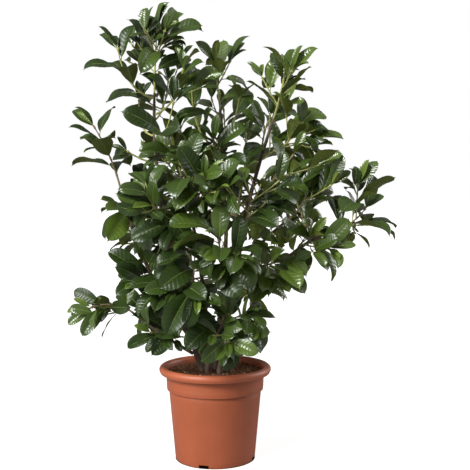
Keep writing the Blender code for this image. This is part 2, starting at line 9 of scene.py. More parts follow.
import bpy
import numpy as np
from mathutils.bvhtree import BVHTree
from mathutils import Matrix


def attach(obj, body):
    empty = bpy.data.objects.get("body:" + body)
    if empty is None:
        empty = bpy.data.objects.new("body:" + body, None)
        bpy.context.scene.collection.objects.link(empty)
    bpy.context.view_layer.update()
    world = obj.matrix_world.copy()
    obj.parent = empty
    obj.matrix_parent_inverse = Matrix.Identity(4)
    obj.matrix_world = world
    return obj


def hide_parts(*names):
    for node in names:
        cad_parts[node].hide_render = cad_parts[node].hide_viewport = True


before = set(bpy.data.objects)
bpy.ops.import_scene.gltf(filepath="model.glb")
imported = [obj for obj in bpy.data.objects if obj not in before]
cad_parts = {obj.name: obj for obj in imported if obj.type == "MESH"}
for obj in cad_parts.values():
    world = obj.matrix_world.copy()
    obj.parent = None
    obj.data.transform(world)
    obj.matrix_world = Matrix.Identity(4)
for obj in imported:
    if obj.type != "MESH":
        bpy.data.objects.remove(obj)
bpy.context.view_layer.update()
body = "root"
print("frame loaded:", len(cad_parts), "nodes")

# The limbs and masses are the frame's own. Each limb: what it leaves and where (a stem's foot on the soil
# as x and y, a bough's share of its stem's length), its tip, how far its middle bows out, and its radius
# at foot and tip.
limbShapes = {
    "leader_stem": ("soil", (-0.032, 0.0), (-0.15, 0.0, 0.915), (-0.07, 0.0, 0.02), 0.0082, 0.0036),
    "right_stem": ("soil", (0.004, 0.004), (0.146, 0.01, 0.852), (-0.034, 0.0, 0.0), 0.008, 0.0036),
    "middle_stem": ("soil", (-0.008, 0.03), (0.012, 0.05, 0.882), (0.05, 0.01, 0.0), 0.0072, 0.0034),
    "front_stem": ("soil", (-0.016, -0.026), (-0.078, -0.085, 0.708), (0.03, -0.03, 0.014), 0.0068, 0.0032),
    "right_bough": ("soil", (0.03, -0.012), (0.3, -0.03, 0.575), (-0.046, -0.02, 0.13), 0.0072, 0.0033),
    "back_stem": ("soil", (0.018, 0.042), (0.075, 0.2, 0.728), (-0.01, -0.04, 0.03), 0.0068, 0.0033),
    "back_left_stem": ("soil", (-0.038, 0.032), (-0.085, 0.185, 0.628), (0.0, -0.03, 0.03), 0.0064, 0.0031),
    "front_right_stem": ("soil", (0.012, -0.04), (0.07, -0.15, 0.568), (0.0, 0.03, 0.03), 0.0062, 0.0031),
    "left_bough": ("leader_stem", 0.13, (-0.232, -0.03, 0.68), (-0.036, -0.01, -0.02), 0.0056, 0.003),
    "low_left_bough": ("leader_stem", 0.06, (-0.205, -0.03, 0.372), (-0.012, -0.004, 0.0), 0.0044, 0.0028),
    "right_mid_bough": ("right_stem", 0.36, (0.182, -0.056, 0.604), (-0.01, -0.006, 0.02), 0.0044, 0.0028),
}

# Each mass of foliage: its limb, the share of the limb where its stem starts, where that stem ends, the
# stem's bare share, how many side twigs it has, its leaf size beside the usual one, how many finer shoots
# grow on each of its twigs, the share of its leaves that is left out because the crown is open there, and
# how much lighter (above 0) or darker than usual its leaves are: partly younger or older leaves, partly
# painted shade on masses that stand in shade, such as the low left ones, and painted light on others.
Mass = namedtuple("Mass", "limb share tip bare sides size shoots leftOut tint")
masses = {
    "leader_top": ("leader_stem", 1.0, (-0.142, -0.005, 1.07), 0.06, 3, 0.95, 2, 0.06, -1.0),
    "leader_left": ("leader_stem", 0.98, (-0.236, -0.03, 1.02), 0.24, 0, 1.02, 0, 0, -1.2),
    "leader_right": ("leader_stem", 0.92, (-0.076, -0.045, 0.965), 0.3, 1, 0.9, 0, 0, -0.3),
    "leader_back": ("leader_stem", 0.9, (-0.125, 0.12, 0.96), 0.25, 2, 0.95, 0, 0, -0.8),
    "leader_mid_left": ("leader_stem", 0.84, (-0.19, 0.02, 0.9), 0.25, 0, 0.88, 0, 0.5, -1.2),
    "leader_low_left": ("leader_stem", 0.74, (-0.215, -0.02, 0.77), 0.25, 0, 0.95, 0, 0.75, -0.7),
    "leader_front": ("leader_stem", 0.8, (-0.095, -0.11, 0.88), 0.25, 0, 1.0, 0, 0.25, -0.9),
    "middle_top": ("middle_stem", 1.0, (0.0, 0.03, 0.99), 0.15, 1, 0.95, 0, 0, 0.8),
    "middle_right": ("middle_stem", 0.9, (0.06, -0.02, 0.9), 0.3, 0, 0.9, 0, 0.6, 0.4),
    "middle_left": ("middle_stem", 0.84, (-0.058, 0.01, 0.93), 0.3, 0, 1.0, 0, 0.15, 0),
    "middle_back": ("middle_stem", 0.84, (0.02, 0.155, 0.89), 0.25, 1, 1.0, 0, 0.3, 0),
    "middle_front": ("middle_stem", 0.72, (0.0, -0.09, 0.79), 0.35, 1, 1.0, 2, 0, 0),
    "right_top": ("right_stem", 1.0, (0.17, 0.0, 0.948), 0.1, 2, 0.95, 1, 0, 0.9),
    "right_shoulder": ("right_stem", 0.86, (0.212, -0.05, 0.834), 0.3, 2, 1.0, 1, 0, 0.5),
    "right_inner": ("right_stem", 0.88, (0.13, -0.03, 0.838), 0.3, 1, 1.0, 0, 0.1, 0),
    "right_back": ("right_stem", 0.84, (0.19, 0.13, 0.83), 0.25, 2, 1.0, 0, 0.2, 0.6),
    "right_front": ("right_stem", 0.7, (0.186, -0.11, 0.755), 0.25, 2, 1.0, 0, 0.35, 0.9),
    "front_top": ("front_stem", 1.0, (-0.096, -0.1, 0.808), 0.15, 2, 1.0, 2, 0, -0.4),
    "front_mid": ("front_stem", 0.84, (-0.02, -0.19, 0.7), 0.3, 3, 1.08, 3, 0, 0.2),
    "front_left": ("front_stem", 0.74, (-0.145, -0.16, 0.65), 0.3, 2, 1.05, 1, 0, -1.3),
    "front_low": ("front_stem", 0.48, (-0.08, -0.19, 0.45), 0.3, 3, 1.05, 0, 0, -1.1),
    "left_upper": ("left_bough", 1.0, (-0.296, -0.03, 0.83), 0.2, 0, 1.0, 1, 0, -0.9),
    "left_mid": ("left_bough", 0.86, (-0.225, -0.09, 0.63), 0.2, 1, 0.95, 0, 0, -0.9),
    "left_low": ("left_bough", 0.42, (-0.168, -0.08, 0.5), 0.3, 2, 0.95, 0, 0.3, -1.7),
    "left_back": ("left_bough", 0.66, (-0.19, 0.12, 0.64), 0.25, 2, 1.0, 1, 0, -0.9),
    "low_left_tip": ("low_left_bough", 1.0, (-0.3, -0.06, 0.388), 0.15, 2, 0.85, 0, 0, -0.1),
    "low_left_skirt": ("low_left_bough", 0.4, (-0.1, -0.09, 0.332), 0.2, 3, 0.95, 1, 0, -1.9),
    "low_left_back": ("low_left_bough", 0.8, (-0.18, 0.11, 0.4), 0.25, 2, 0.95, 0, 0.15, -1.6),
    "far_right": ("right_bough", 1.0, (0.374, -0.01, 0.628), 0.12, 2, 1.1, 0, 0, -0.8),
    "right_hanging": ("right_bough", 0.72, (0.225, -0.1, 0.56), 0.2, 1, 1.0, 0, 0.25, 1.4),
    "right_low_front": ("right_bough", 0.5, (0.125, -0.14, 0.5), 0.25, 1, 1.0, 1, 0, 2.0),
    "right_low": ("right_bough", 0.34, (0.085, -0.02, 0.43), 0.2, 1, 0.95, 1, 0, 2.2),
    "right_outer_back": ("right_bough", 0.82, (0.22, 0.11, 0.64), 0.25, 2, 1.0, 0, 0, 1.0),
    "right_mid": ("right_mid_bough", 1.0, (0.225, -0.055, 0.675), 0.1, 2, 0.95, 0, 0.15, 0.8),
    "front_right_top": ("front_right_stem", 1.0, (0.09, -0.18, 0.685), 0.15, 3, 1.0, 2, 0, -0.7),
    "front_right_mid": ("front_right_stem", 0.78, (0.015, -0.22, 0.56), 0.3, 3, 1.08, 2, 0, -0.8),
    "front_right_low": ("front_right_stem", 0.36, (0.02, -0.16, 0.37), 0.3, 3, 1.05, 1, 0, -0.3),
    "back_top": ("back_stem", 1.0, (0.08, 0.23, 0.83), 0.15, 1, 1.0, 0, 0.6, 0),
    "back_right": ("back_stem", 0.8, (0.19, 0.21, 0.65), 0.25, 2, 1.0, 2, 0, 0.4),
    "back_mid": ("back_stem", 0.74, (0.02, 0.27, 0.645), 0.25, 2, 1.0, 3, 0, -0.8),
    "back_low": ("back_stem", 0.48, (0.12, 0.18, 0.43), 0.25, 2, 1.0, 0, 0, 1.6),
    "back_left_top": ("back_left_stem", 1.0, (-0.11, 0.21, 0.745), 0.15, 2, 1.0, 2, 0, 0),
    "back_left_mid": ("back_left_stem", 0.74, (-0.18, 0.21, 0.53), 0.25, 2, 1.0, 2, 0, -1.4),
    "back_left_low": ("back_left_stem", 0.48, (-0.04, 0.23, 0.43), 0.25, 2, 1.0, 0, 0, -0.6),
}
masses = {name: Mass(*row) for name, row in masses.items()}
massNodes = ["foliage_" + name for name in masses]

# How limbs and twigs grow, as the frame's own do. A value in a pair is drawn between the two, except
# leafLean, in degrees, which goes from a twig's first leaf to its last.
rule = Table(
    seed=2500, seat=0.0003, soilLevel=0.222,
    limbSteps=9, limbSides=6, limbClearance=0.0007, flare=0.32, flareHeight=0.035,
    twigSides=3, twigSteps=3, sideTwigSteps=2,
    twigRadius=0.0027, twigTipRadius=0.0014, sideTwigRadius=0.0019,
    stemLift=0.25, sideFirst=0.25, sideStretch=0.55, sideJitter=0.04, sideShare=(0.50, 0.68),
    sideLeast=0.075, sideSpread=0.8 / 0.7, sideLift=0.10, sideBare=0.28, lastLeaf=0.97,
    leafLength=0.118, leafVaries=(0.86, 1.10), leafFirstSize=1.03, leafSizeLoss=0.30,
    leafLean=(62, 28), leanJitter=0.14, turnJitter=0.3,
    leafDroop=(0.35, 1.25), droopFirst=1.15, droopLoss=0.45,
    leafTwist=(-0.5, 0.5), leafRoll=0.40, steepestFall=-0.5, leafLift=0.12,
    toSky=0.75, toFront=0.50, toTip=0.40, toOutside=(0.40, 0.10), outsideHeights=(0.35, 0.85),
    leastLeaves=4, leafSpacing=0.0192, goldenTurn=math.radians(137.5), stalkClear=0.012,
    otherTurns=(0.0, 0.5, -0.5, 1.0, -1.0, 1.6, -1.6, 2.3), smaller=0.84,
    spaceReach=0.125, border=0.028, rimTop=0.235 + 0.004, rimOutside=0.1405 + 0.004,
    mouthInside=0.1225 - 0.004, soilTop=0.214 + 0.006,
)

# The plain leaf that stands in for a fine one while room is looked for: its eight points.
plainLeaf = Table(
    share=np.array([0, 0.34, 0.34, 0.72, 0.72, 1, 0.34, 0.72]),
    across=np.array([0, -0.86, 0.86, -0.94, 0.94, 0, 0, 0]) * 0.46 / 2,
    lift=np.array([0, 0, 0, 0, 0, 0, -0.014, -0.014]),
    faces=[(0, 2, 1), (1, 2, 4), (1, 4, 3), (3, 4, 5), (0, 1, 6), (2, 0, 6),
           (1, 3, 7), (1, 7, 6), (4, 2, 6), (4, 6, 7), (3, 5, 7), (5, 4, 7)],
    mirrored=(0, 2, 1, 4, 3, 5, 6, 7),
)
noTubeRunsThere = np.array([0.31, 0.95, 0.05])
nearlyUp = np.array([0.1, 0.2, 1.0])
front = np.array([0.0, -1.0, 0.0])
sky = np.array([0.0, 0.0, 1.0])


def unit(vector):
    return vector / np.linalg.norm(vector)


# A vector turned about a unit axis: its part along the axis stays, the rest turns in its plane.
def turned(vector, axis, angle):
    along = axis * np.dot(axis, vector)
    return along + (vector - along) * math.cos(angle) + np.cross(axis, vector) * math.sin(angle)


def squareTo(vector, axis):
    return unit(vector - axis * np.dot(axis, vector))


# The quadratic curve from start to end that leans towards middle, at shares t of its run.
def bentCurve(start, middle, end, t):
    t = np.asarray(t, float)[:, None]
    return (1 - t) ** 2 * start + 2 * t * (1 - t) * middle + t**2 * end


def bentLine(start, middle, end, steps):
    return bentCurve(start, middle, end, np.linspace(0, 1, steps + 1))


def tangents(points):
    along = np.gradient(points, axis=0)
    return along / np.linalg.norm(along, axis=1)[:, None]


def pointAt(points, share):
    place = share * (len(points) - 1)
    low = min(int(place), len(points) - 2)
    part = place - low
    directions = tangents(points)
    point = points[low] * (1 - part) + points[low + 1] * part
    return point, unit(directions[low] * (1 - part) + directions[low + 1] * part)


# A closed tube: a ring of sides points is carried along the path without turning about it, each point
# at the path's point plus the radius times the ring's direction. Radii are one a ring, or one a point.
def tubeMesh(points, radii, sides):
    directions = tangents(points)
    across = squareTo(noTubeRunsThere, directions[0])
    section = []
    for direction in directions:
        across = squareTo(across, direction)
        section.append((across, np.cross(direction, across)))
    angle = 2 * math.pi * np.arange(sides) / sides
    ring = np.einsum("rkx,ks->rsx", np.array(section), np.stack([np.cos(angle), np.sin(angle)]))
    radii = np.broadcast_to(np.reshape(radii, (len(points), -1)), (len(points), sides))
    vertices = points[:, None] + ring * radii[..., None]
    return vertices.reshape(-1, 3), [ringFaces(len(points), sides), endFaces(len(points), sides)]


def ringFaces(rings, sides):
    low = np.arange(rings - 1)[:, None] * sides
    side = np.arange(sides)[None]
    after = (side + 1) % sides
    return np.stack([low + side, low + after, low + sides + after, low + sides + side], -1).reshape(-1, 4)


def endFaces(rings, sides):
    return np.stack([np.arange(sides)[::-1], (rings - 1) * sides + np.arange(sides)])


def faceList(groups):
    return [face for group in groups for face in group.tolist()]


def searchTree(vertices, faces):
    return BVHTree.FromPolygons(vertices.tolist(), faces)


def runLength(line):
    return np.linalg.norm(np.diff(line, axis=0), axis=1).sum()


# Points of leaves at a share of their length, across the blade and above it. The midrib is an arc that
# bends down by the droop angle, and the blade turns about it by the twist angle. Every argument has one
# row for each leaf.
def leafPoints(leaves, share, across, lift):
    def spread(values):
        return values.reshape(values.shape[:1] + (1,) * (share.ndim - 1) + values.shape[1:])

    along, up = spread(leaves["along"]), spread(leaves["up"])
    side = np.cross(along, up)
    bend = (spread(leaves["droop"]) * share)[..., None]
    turn = (spread(leaves["twist"]) * share)[..., None]
    reach = spread(leaves["length"] / leaves["droop"])[..., None]
    middle = spread(leaves["root"]) + along * reach * np.sin(bend) - up * reach * (1 - np.cos(bend))
    normal = up * np.cos(bend) + along * np.sin(bend)
    sideways = side * np.cos(turn) - normal * np.sin(turn)
    normal = normal * np.cos(turn) + side * np.sin(turn)
    return middle + sideways * across[..., None] + normal * lift[..., None]


# Sets a leaf on its twig: it leans off at an angle, and its face turns to the light.
def leafOn(line, place, turn, lean, roll, length, droop, twist):
    root, alongTwig = pointAt(line, place)
    level = sky if abs(alongTwig[2]) < 0.9 else np.array([1.0, 0.0, 0.0])
    out = turned(squareTo(level, alongTwig), alongTwig, turn)
    along = alongTwig * math.cos(lean) + out * math.sin(lean)
    along[2] = max(along[2], rule.steepestFall) + rule.leafLift
    along = unit(along)
    outside = unit(np.array([root[0], root[1], 0.0]))
    toOutside = float(np.interp(root[2], rule.outsideHeights, rule.toOutside))
    light = sky * rule.toSky + front * rule.toFront + outside * toOutside
    up = squareTo(light + alongTwig * rule.toTip, along)
    up = turned(up, along, roll)
    return {"root": root, "along": along, "up": up, "length": length, "droop": droop, "twist": twist}


placedBy = ("root", "along", "up", "length", "droop", "twist")
shapedBy = ("fold", "curl", "phase", "width")


# What leaves are placed or shaped by, under each key an array with one row for each leaf.
def leafArrays(chosen, keys):
    return {key: np.array([leaf[key] for leaf in chosen], float) for key in keys}


def plainShape(leaf):
    size = leaf["length"]
    points = leafPoints(leafArrays([leaf], placedBy), plainLeaf.share[None],
                        plainLeaf.across[None] * size, plainLeaf.lift[None] * size)[0]
    faces = plainLeaf.faces
    if leaf["twist"] > 0:
        faces = [tuple(plainLeaf.mirrored[corner] for corner in reversed(face)) for face in faces]
    return points, faces


def twigShape(line, radius):
    vertices, groups = tubeMesh(line, np.linspace(radius, rule.twigTipRadius, len(line)), rule.twigSides)
    return vertices, faceList(groups)


def ball(points):
    middle = points.mean(axis=0)
    return middle, np.linalg.norm(points - middle, axis=1).max()


def trimmed(line, length):
    run = np.concatenate([[0], np.cumsum(np.linalg.norm(np.diff(line, axis=0), axis=1))])
    marks = np.linspace(min(length, run[-1] * 0.5), run[-1], len(line))
    return np.stack([np.interp(marks, run, line[:, axis]) for axis in range(3)], axis=1)


# Knows what has grown, and tells whether a leaf or twig keeps to its mass's own space and touches nothing.
class Room:
    def __init__(self, limbs, axes, potNode):
        self.names = list(axes)
        self.starts = np.concatenate([line[:-1] for line in axes.values()])
        self.ends = np.concatenate([line[1:] for line in axes.values()])
        self.owner = np.repeat(np.arange(len(axes)), [len(line) - 1 for line in axes.values()])
        self.fixed = []
        for limb in limbs.values():
            radii = limb["radii"] + rule.limbClearance
            vertices, groups = tubeMesh(limb["points"], radii, rule.limbSides)
            self.fixed.append(searchTree(vertices, faceList(groups)))
        mesh = potNode.data
        self.fixed.append(searchTree(np.array([corner.co for corner in mesh.vertices]),
                                     [tuple(face.vertices) for face in mesh.polygons]))
        self.grown, self.growers, self.middles, self.reaches = [], [], [], []

    # How far each point is from the stem of each mass.
    def gaps(self, points):
        run = self.ends - self.starts
        offset = points[:, None, :] - self.starts[None]
        share = np.clip((offset * run).sum(2) / (run * run).sum(1), 0, 1)
        gaps = np.linalg.norm(offset - run * share[..., None], axis=2)
        return np.stack([gaps[:, self.owner == i].min(1) for i in range(len(self.names))], axis=1)

    def inSpace(self, name, points):
        mine = self.names.index(name)
        gaps = self.gaps(points)
        others = np.delete(gaps, mine, axis=1).min(1)
        own = gaps[:, mine]
        if (own > rule.spaceReach).any() or (own > others + rule.border).any():
            return False
        radius = np.hypot(points[:, 0], points[:, 1])
        over = points[:, 2] > rule.rimTop
        outside = radius > rule.rimOutside
        inside = (radius < rule.mouthInside) & (points[:, 2] > rule.soilTop)
        return bool((over | outside | inside).all())

    def isFree(self, name, shape, clear):
        tree, clearTree = searchTree(*shape), searchTree(*clear)
        if any(tree.overlap(other) for other in self.fixed):
            return False
        middle, reach = ball(shape[0])
        apart = np.linalg.norm(np.array(self.middles) - middle, axis=1)
        for index in np.flatnonzero(apart < np.array(self.reaches) + reach):
            mine = self.growers[index] == name
            if (clearTree if mine else tree).overlap(self.grown[index]):
                return False
        return True

    def add(self, name, shape):
        middle, reach = ball(shape[0])
        self.grown.append(searchTree(*shape))
        self.growers.append(name)
        self.middles.append(middle)
        self.reaches.append(reach)

    # Adds a shape if the points keep to its mass's space and it touches nothing. Of its own mass only
    # its clear part has to keep off.
    def takes(self, name, points, shape, clear):
        free = self.inSpace(name, points) and self.isFree(name, shape, clear)
        if free:
            self.add(name, shape)
        return free


# Radius along a limb: an even taper, and a root flare that dies out above the soil.
def limbRadii(points, footRadius, tipRadius, flare):
    share = np.linspace(0, 1, len(points))
    rise = np.linalg.norm(points - points[0], axis=1)
    taper = footRadius + (tipRadius - footRadius) * share
    return taper * (1 + flare * np.exp(-rise / rule.flareHeight))


# Where something that grows towards a point leaves a limb: its first point and outward direction.
def leaveLimb(limb, share, towards):
    centre, along = pointAt(limb["points"], share)
    if share >= 1:
        return centre + along * rule.seat, along
    out = squareTo(towards - centre, along)
    radius = float(np.interp(share * rule.limbSteps, range(rule.limbSteps + 1), limb["radii"]))
    return centre + out * (radius + rule.seat), out


def growLimbs():
    limbs = {}
    for name, (parent, place, tip, bow, *ends) in limbShapes.items():
        tip = np.array(tip)
        if parent == "soil":
            start = np.array([*place, rule.soilLevel + rule.seat])
            ends.append(rule.flare)
        else:
            start, _ = leaveLimb(limbs[parent], place, tip)
            ends.append(0.0)
        control = (start, (start + tip) / 2 + np.array(bow), tip)
        points = bentLine(*control, rule.limbSteps)
        limbs[name] = {"points": points, "radii": limbRadii(points, *ends), "control": control, "ends": ends}
    return limbs


def newTwig(name, control, steps, radius):
    line = bentLine(*control, steps)
    return {"mass": name, "control": control, "line": line, "radius": radius, "places": []}


# A mass's own stem leaves the limb and lifts towards the light as it goes.
def massStem(limbs, name):
    mass = masses[name]
    tip = np.array(mass.tip)
    start, out = leaveLimb(limbs[mass.limb], mass.share, tip)
    reach = np.linalg.norm(tip - start)
    lean = out if mass.share >= 1 else unit(out + sky * rule.stemLift)
    return newTwig(name, (start, start + lean * reach * 0.5, tip), rule.twigSteps, rule.twigRadius)


# A twig off a point of its parent, at the first turn about it where it has room, or nothing.
def fitTwig(name, root, along, turn, length, lift, radius, room):
    for other in rule.otherTurns:
        out = turned(squareTo(nearlyUp, along), along, turn + other)
        aim = unit(along + out * rule.sideSpread)
        control = (root, root + aim * length * 0.5, root + aim * length + sky * (lift * length))
        twig = newTwig(name, control, rule.sideTwigSteps, radius)
        clear = twigShape(trimmed(twig["line"], rule.stalkClear), radius)
        if room.takes(name, twig["line"][1:], twigShape(twig["line"], radius), clear):
            return twig
    return None


# Side twigs leave a mass's stem by the golden turn, each leaning up and out.
def growSideTwigs(stem, count, room, draw):
    twigs = []
    line = stem["line"]
    reach = np.linalg.norm(line[-1] - line[0])
    turn = draw.uniform(0, 2 * math.pi)
    for index in range(count):
        jitter = draw.uniform(-rule.sideJitter, rule.sideJitter)
        share = rule.sideFirst + rule.sideStretch * (index + 0.5) / count + jitter
        turn += rule.goldenTurn
        length = max(reach * draw.uniform(*rule.sideShare), rule.sideLeast)
        twigs.append(fitTwig(stem["mass"], *pointAt(line, share), turn, length, rule.sideLift,
                             rule.sideTwigRadius, room))
    return [twig for twig in twigs if twig]


# The leaf at the first turn where it has room, or nothing.
def fitLeaf(twig, place, turn, lean, roll, length, droop, twist, room):
    for other in rule.otherTurns:
        leaf = leafOn(twig["line"], place, turn + other, lean, roll, length, droop, twist)
        points, faces = plainShape(leaf)
        clear = points.copy()
        clear[0] += (points[6] - points[0]) * (rule.stalkClear / (length * plainLeaf.share[1]))
        if room.takes(twig["mass"], points[1:], (points, faces), (clear, faces)):
            twig["places"].append(place)
            bend = bentCurve(*twig["control"], [place])[0] - leaf["root"]
            return {**leaf, "root": leaf["root"] + bend, "twig": twig, "place": place}
    return None


# A mass's twigs, its own stem first, and its leaves, by the golden turn and smaller towards the tip.
def growMass(name, stem, room, draw):
    mass = masses[name]
    twigs = [(stem, mass.bare)]
    twigs += [(twig, rule.sideBare) for twig in growSideTwigs(stem, mass.sides, room, draw)]
    leaves = []
    for twig, first in twigs:
        count = max(rule.leastLeaves, round(runLength(twig["line"]) * (1 - first) / rule.leafSpacing))
        turn = draw.uniform(0, 2 * math.pi)
        for number in range(count):
            share = number / (count - 1)
            turn += rule.goldenTurn + draw.uniform(-rule.turnJitter, rule.turnJitter)
            lean = math.radians(rule.leafLean[0] + (rule.leafLean[1] - rule.leafLean[0]) * share)
            lean += draw.uniform(-rule.leanJitter, rule.leanJitter)
            length = rule.leafLength * mass.size * (rule.leafFirstSize - rule.leafSizeLoss * share**2.5)
            length *= draw.uniform(*rule.leafVaries)
            droop = draw.uniform(*rule.leafDroop) * (rule.droopFirst - rule.droopLoss * share)
            twist, roll = draw.uniform(*rule.leafTwist), draw.gauss(0, rule.leafRoll)
            place = first + (rule.lastLeaf - first) * share
            for scale in (1, rule.smaller):
                leaf = fitLeaf(twig, place, turn, lean, roll, length * scale, droop, twist, room)
                if leaf:
                    leaves.append(leaf)
                    break
    return [twig for twig, _ in twigs], leaves


# What the frame is too coarse for: a tuft of young leaves at each twig's tip, and shoots, finer twigs
# with small leaves, each kept only where its mass has room. Leaves are left out above a mass's top,
# before the stretches of stem that show and over the pot's rim. A measure of a shoot or leaf in a pair
# is drawn between the two.
finer = Table(
    seed=9100,
    openStems=(         # stem, lowest and highest point of the stretch, how near a leaf's middle may come
        ("right_stem", 0.60, 0.87, 0.021), ("leader_stem", 0.80, 0.95, 0.016),
        ("leader_stem", 0.24, 0.34, 0.020),
    ),
    rimClear=(0.122, 0.247),        # outside this radius no leaf reaches under this height
    tops={"low_left_tip": 0.440, "leader_left": 1.055, "left_upper": 0.870},
    tipLeaves=(2, 3), tipLength=(0.042, 0.076), tipLean=(0.20, 0.62), tipRoll=0.3,
    tipDroop=(0.15, 0.60), tipTwist=(-0.2, 0.2),
    shootsBelow=0.62,               # one more on each twig that starts under this height
    shootPlaces=(0.15, 0.85), shootLength=(0.030, 0.058), shootLift=0.2, shootRadius=0.0013,
    shootLeaves=4, shootBare=0.25, shootRun=0.72,
    leafLean=1.05, leafLeanLoss=0.5, leafLeanJitter=0.15, leafRoll=0.4,
    leafLength=(0.052, 0.086), leafSize=1.1, leafSizeLoss=0.3, leafDroop=(0.3, 1.0),
    leafTwist=(-0.4, 0.4),
)


def growTip(twig, room, draw):
    leaves = []
    turn = draw.uniform(0, 2 * math.pi)
    for _ in range(draw.randint(*finer.tipLeaves)):
        turn += rule.goldenTurn
        leaf = fitLeaf(twig, 1.0, turn, draw.uniform(*finer.tipLean), draw.gauss(0, finer.tipRoll),
                       draw.uniform(*finer.tipLength), draw.uniform(*finer.tipDroop),
                       draw.uniform(*finer.tipTwist), room)
        if leaf:
            leaves.append({**leaf, "young": True})
    return leaves


def growShoot(parent, room, draw):
    place = draw.uniform(*finer.shootPlaces)
    length = draw.uniform(*finer.shootLength)
    turn = draw.uniform(0, 2 * math.pi)
    root = bentCurve(*parent["control"], [place])[0]
    twig = fitTwig(parent["mass"], root, pointAt(parent["line"], place)[1], turn, length,
                   finer.shootLift, finer.shootRadius, room)
    if not twig:
        return None, []
    leaves = []
    turn = draw.uniform(0, 2 * math.pi)
    for number in range(finer.shootLeaves):
        share = (number + 1) / finer.shootLeaves
        turn += rule.goldenTurn + draw.uniform(-rule.turnJitter, rule.turnJitter)
        lean = finer.leafLean - finer.leafLeanLoss * share
        lean += draw.uniform(-finer.leafLeanJitter, finer.leafLeanJitter)
        roll = draw.gauss(0, finer.leafRoll)
        length = draw.uniform(*finer.leafLength) * (finer.leafSize - finer.leafSizeLoss * share)
        leaf = fitLeaf(twig, finer.shootBare + finer.shootRun * share, turn, lean, roll, length,
                       draw.uniform(*finer.leafDroop), draw.uniform(*finer.leafTwist), room)
        if leaf:
            leaves.append(leaf)
    return twig, leaves


# Whether a leaf has to go: its middle or its twig's tip stands above its mass's top, it hangs over the
# pot's rim, or its middle is before a stretch of stem that shows in front.
def isInTheWay(leaf, limbs):
    points, twig = plainShape(leaf)[0], leaf["twig"]
    middle = points.mean(0)
    if max(middle[2], twig["line"][-1][2]) > finer.tops.get(twig["mass"], math.inf):
        return True
    mouth, height = finer.rimClear
    if ((np.hypot(points[:, 0], points[:, 1]) > mouth) & (points[:, 2] < height)).any():
        return True
    for name, low, high, reach in finer.openStems:
        line = bentCurve(*limbs[name]["control"], np.linspace(0, 1, 80))
        line = line[(line[:, 2] > low) & (line[:, 2] < high)]
        away = np.hypot(line[:, 0] - middle[0], line[:, 2] - middle[2])
        if away.min() < reach and middle[1] < line[away.argmin(), 1]:
            return True
    return False


def growPlant():
    limbs = growLimbs()
    ownStems = {name: massStem(limbs, name) for name in masses}
    room = Room(limbs, {name: stem["line"] for name, stem in ownStems.items()}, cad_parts["pot"])
    for name, stem in ownStems.items():
        room.add(name, twigShape(stem["line"], stem["radius"]))
    twigs, leaves = [], []
    for number, name in enumerate(masses):
        grownTwigs, grownLeaves = growMass(name, ownStems[name], room, random.Random(rule.seed + number))
        twigs += grownTwigs
        leaves += grownLeaves
    print("grown by the frame's rule:", len(twigs), "twigs,", len(leaves), "leaves")
    draw = random.Random(finer.seed)
    leaves = [leaf for leaf in leaves if draw.random() >= masses[leaf["twig"]["mass"]].leftOut]
    parents = []
    for twig in twigs:
        leaves += growTip(twig, room, draw)
        low = twig["line"][0][2] < finer.shootsBelow
        parents += [twig] * (masses[twig["mass"]].shoots + low)
    shoots = []
    for twig in parents:
        shoot, shootLeaves = growShoot(twig, room, draw)
        if shoot:
            shoots.append((shoot, twig))
            leaves += shootLeaves
    twigs += [shoot for shoot, _ in shoots]
    leaves = [leaf for leaf in leaves if not isInTheWay(leaf, limbs)]
    # What bears no leaf goes, except a stem with side twigs, and a shoot goes with its parent.
    bearing = {id(leaf["twig"]) for leaf in leaves}
    bearing |= {id(stem) for name, stem in ownStems.items() if masses[name].sides}
    bearing -= {id(shoot) for shoot, parent in shoots if id(parent) not in bearing}
    leaves = [leaf for leaf in leaves if id(leaf["twig"]) in bearing]
    twigs = [twig for twig in twigs if id(twig) in bearing]
    print("with the finer growth:", len(twigs), "twigs,", len(leaves), "leaves")
    return limbs, twigs, leaves


limbs, twigs, leaves = growPlant()


# Materials

def setInputs(node, values):
    for socket, value in values.items():
        node.inputs[socket].default_value = value
    return node


def newMaterial(name, colour, roughness, gloss=0.5):
    material = bpy.data.materials.new(name)
    material.use_nodes = True
    setInputs(material.node_tree.nodes["Principled BSDF"],
              {"Base Color": (*colour, 1), "Roughness": roughness, "Specular IOR Level": gloss})
    return material


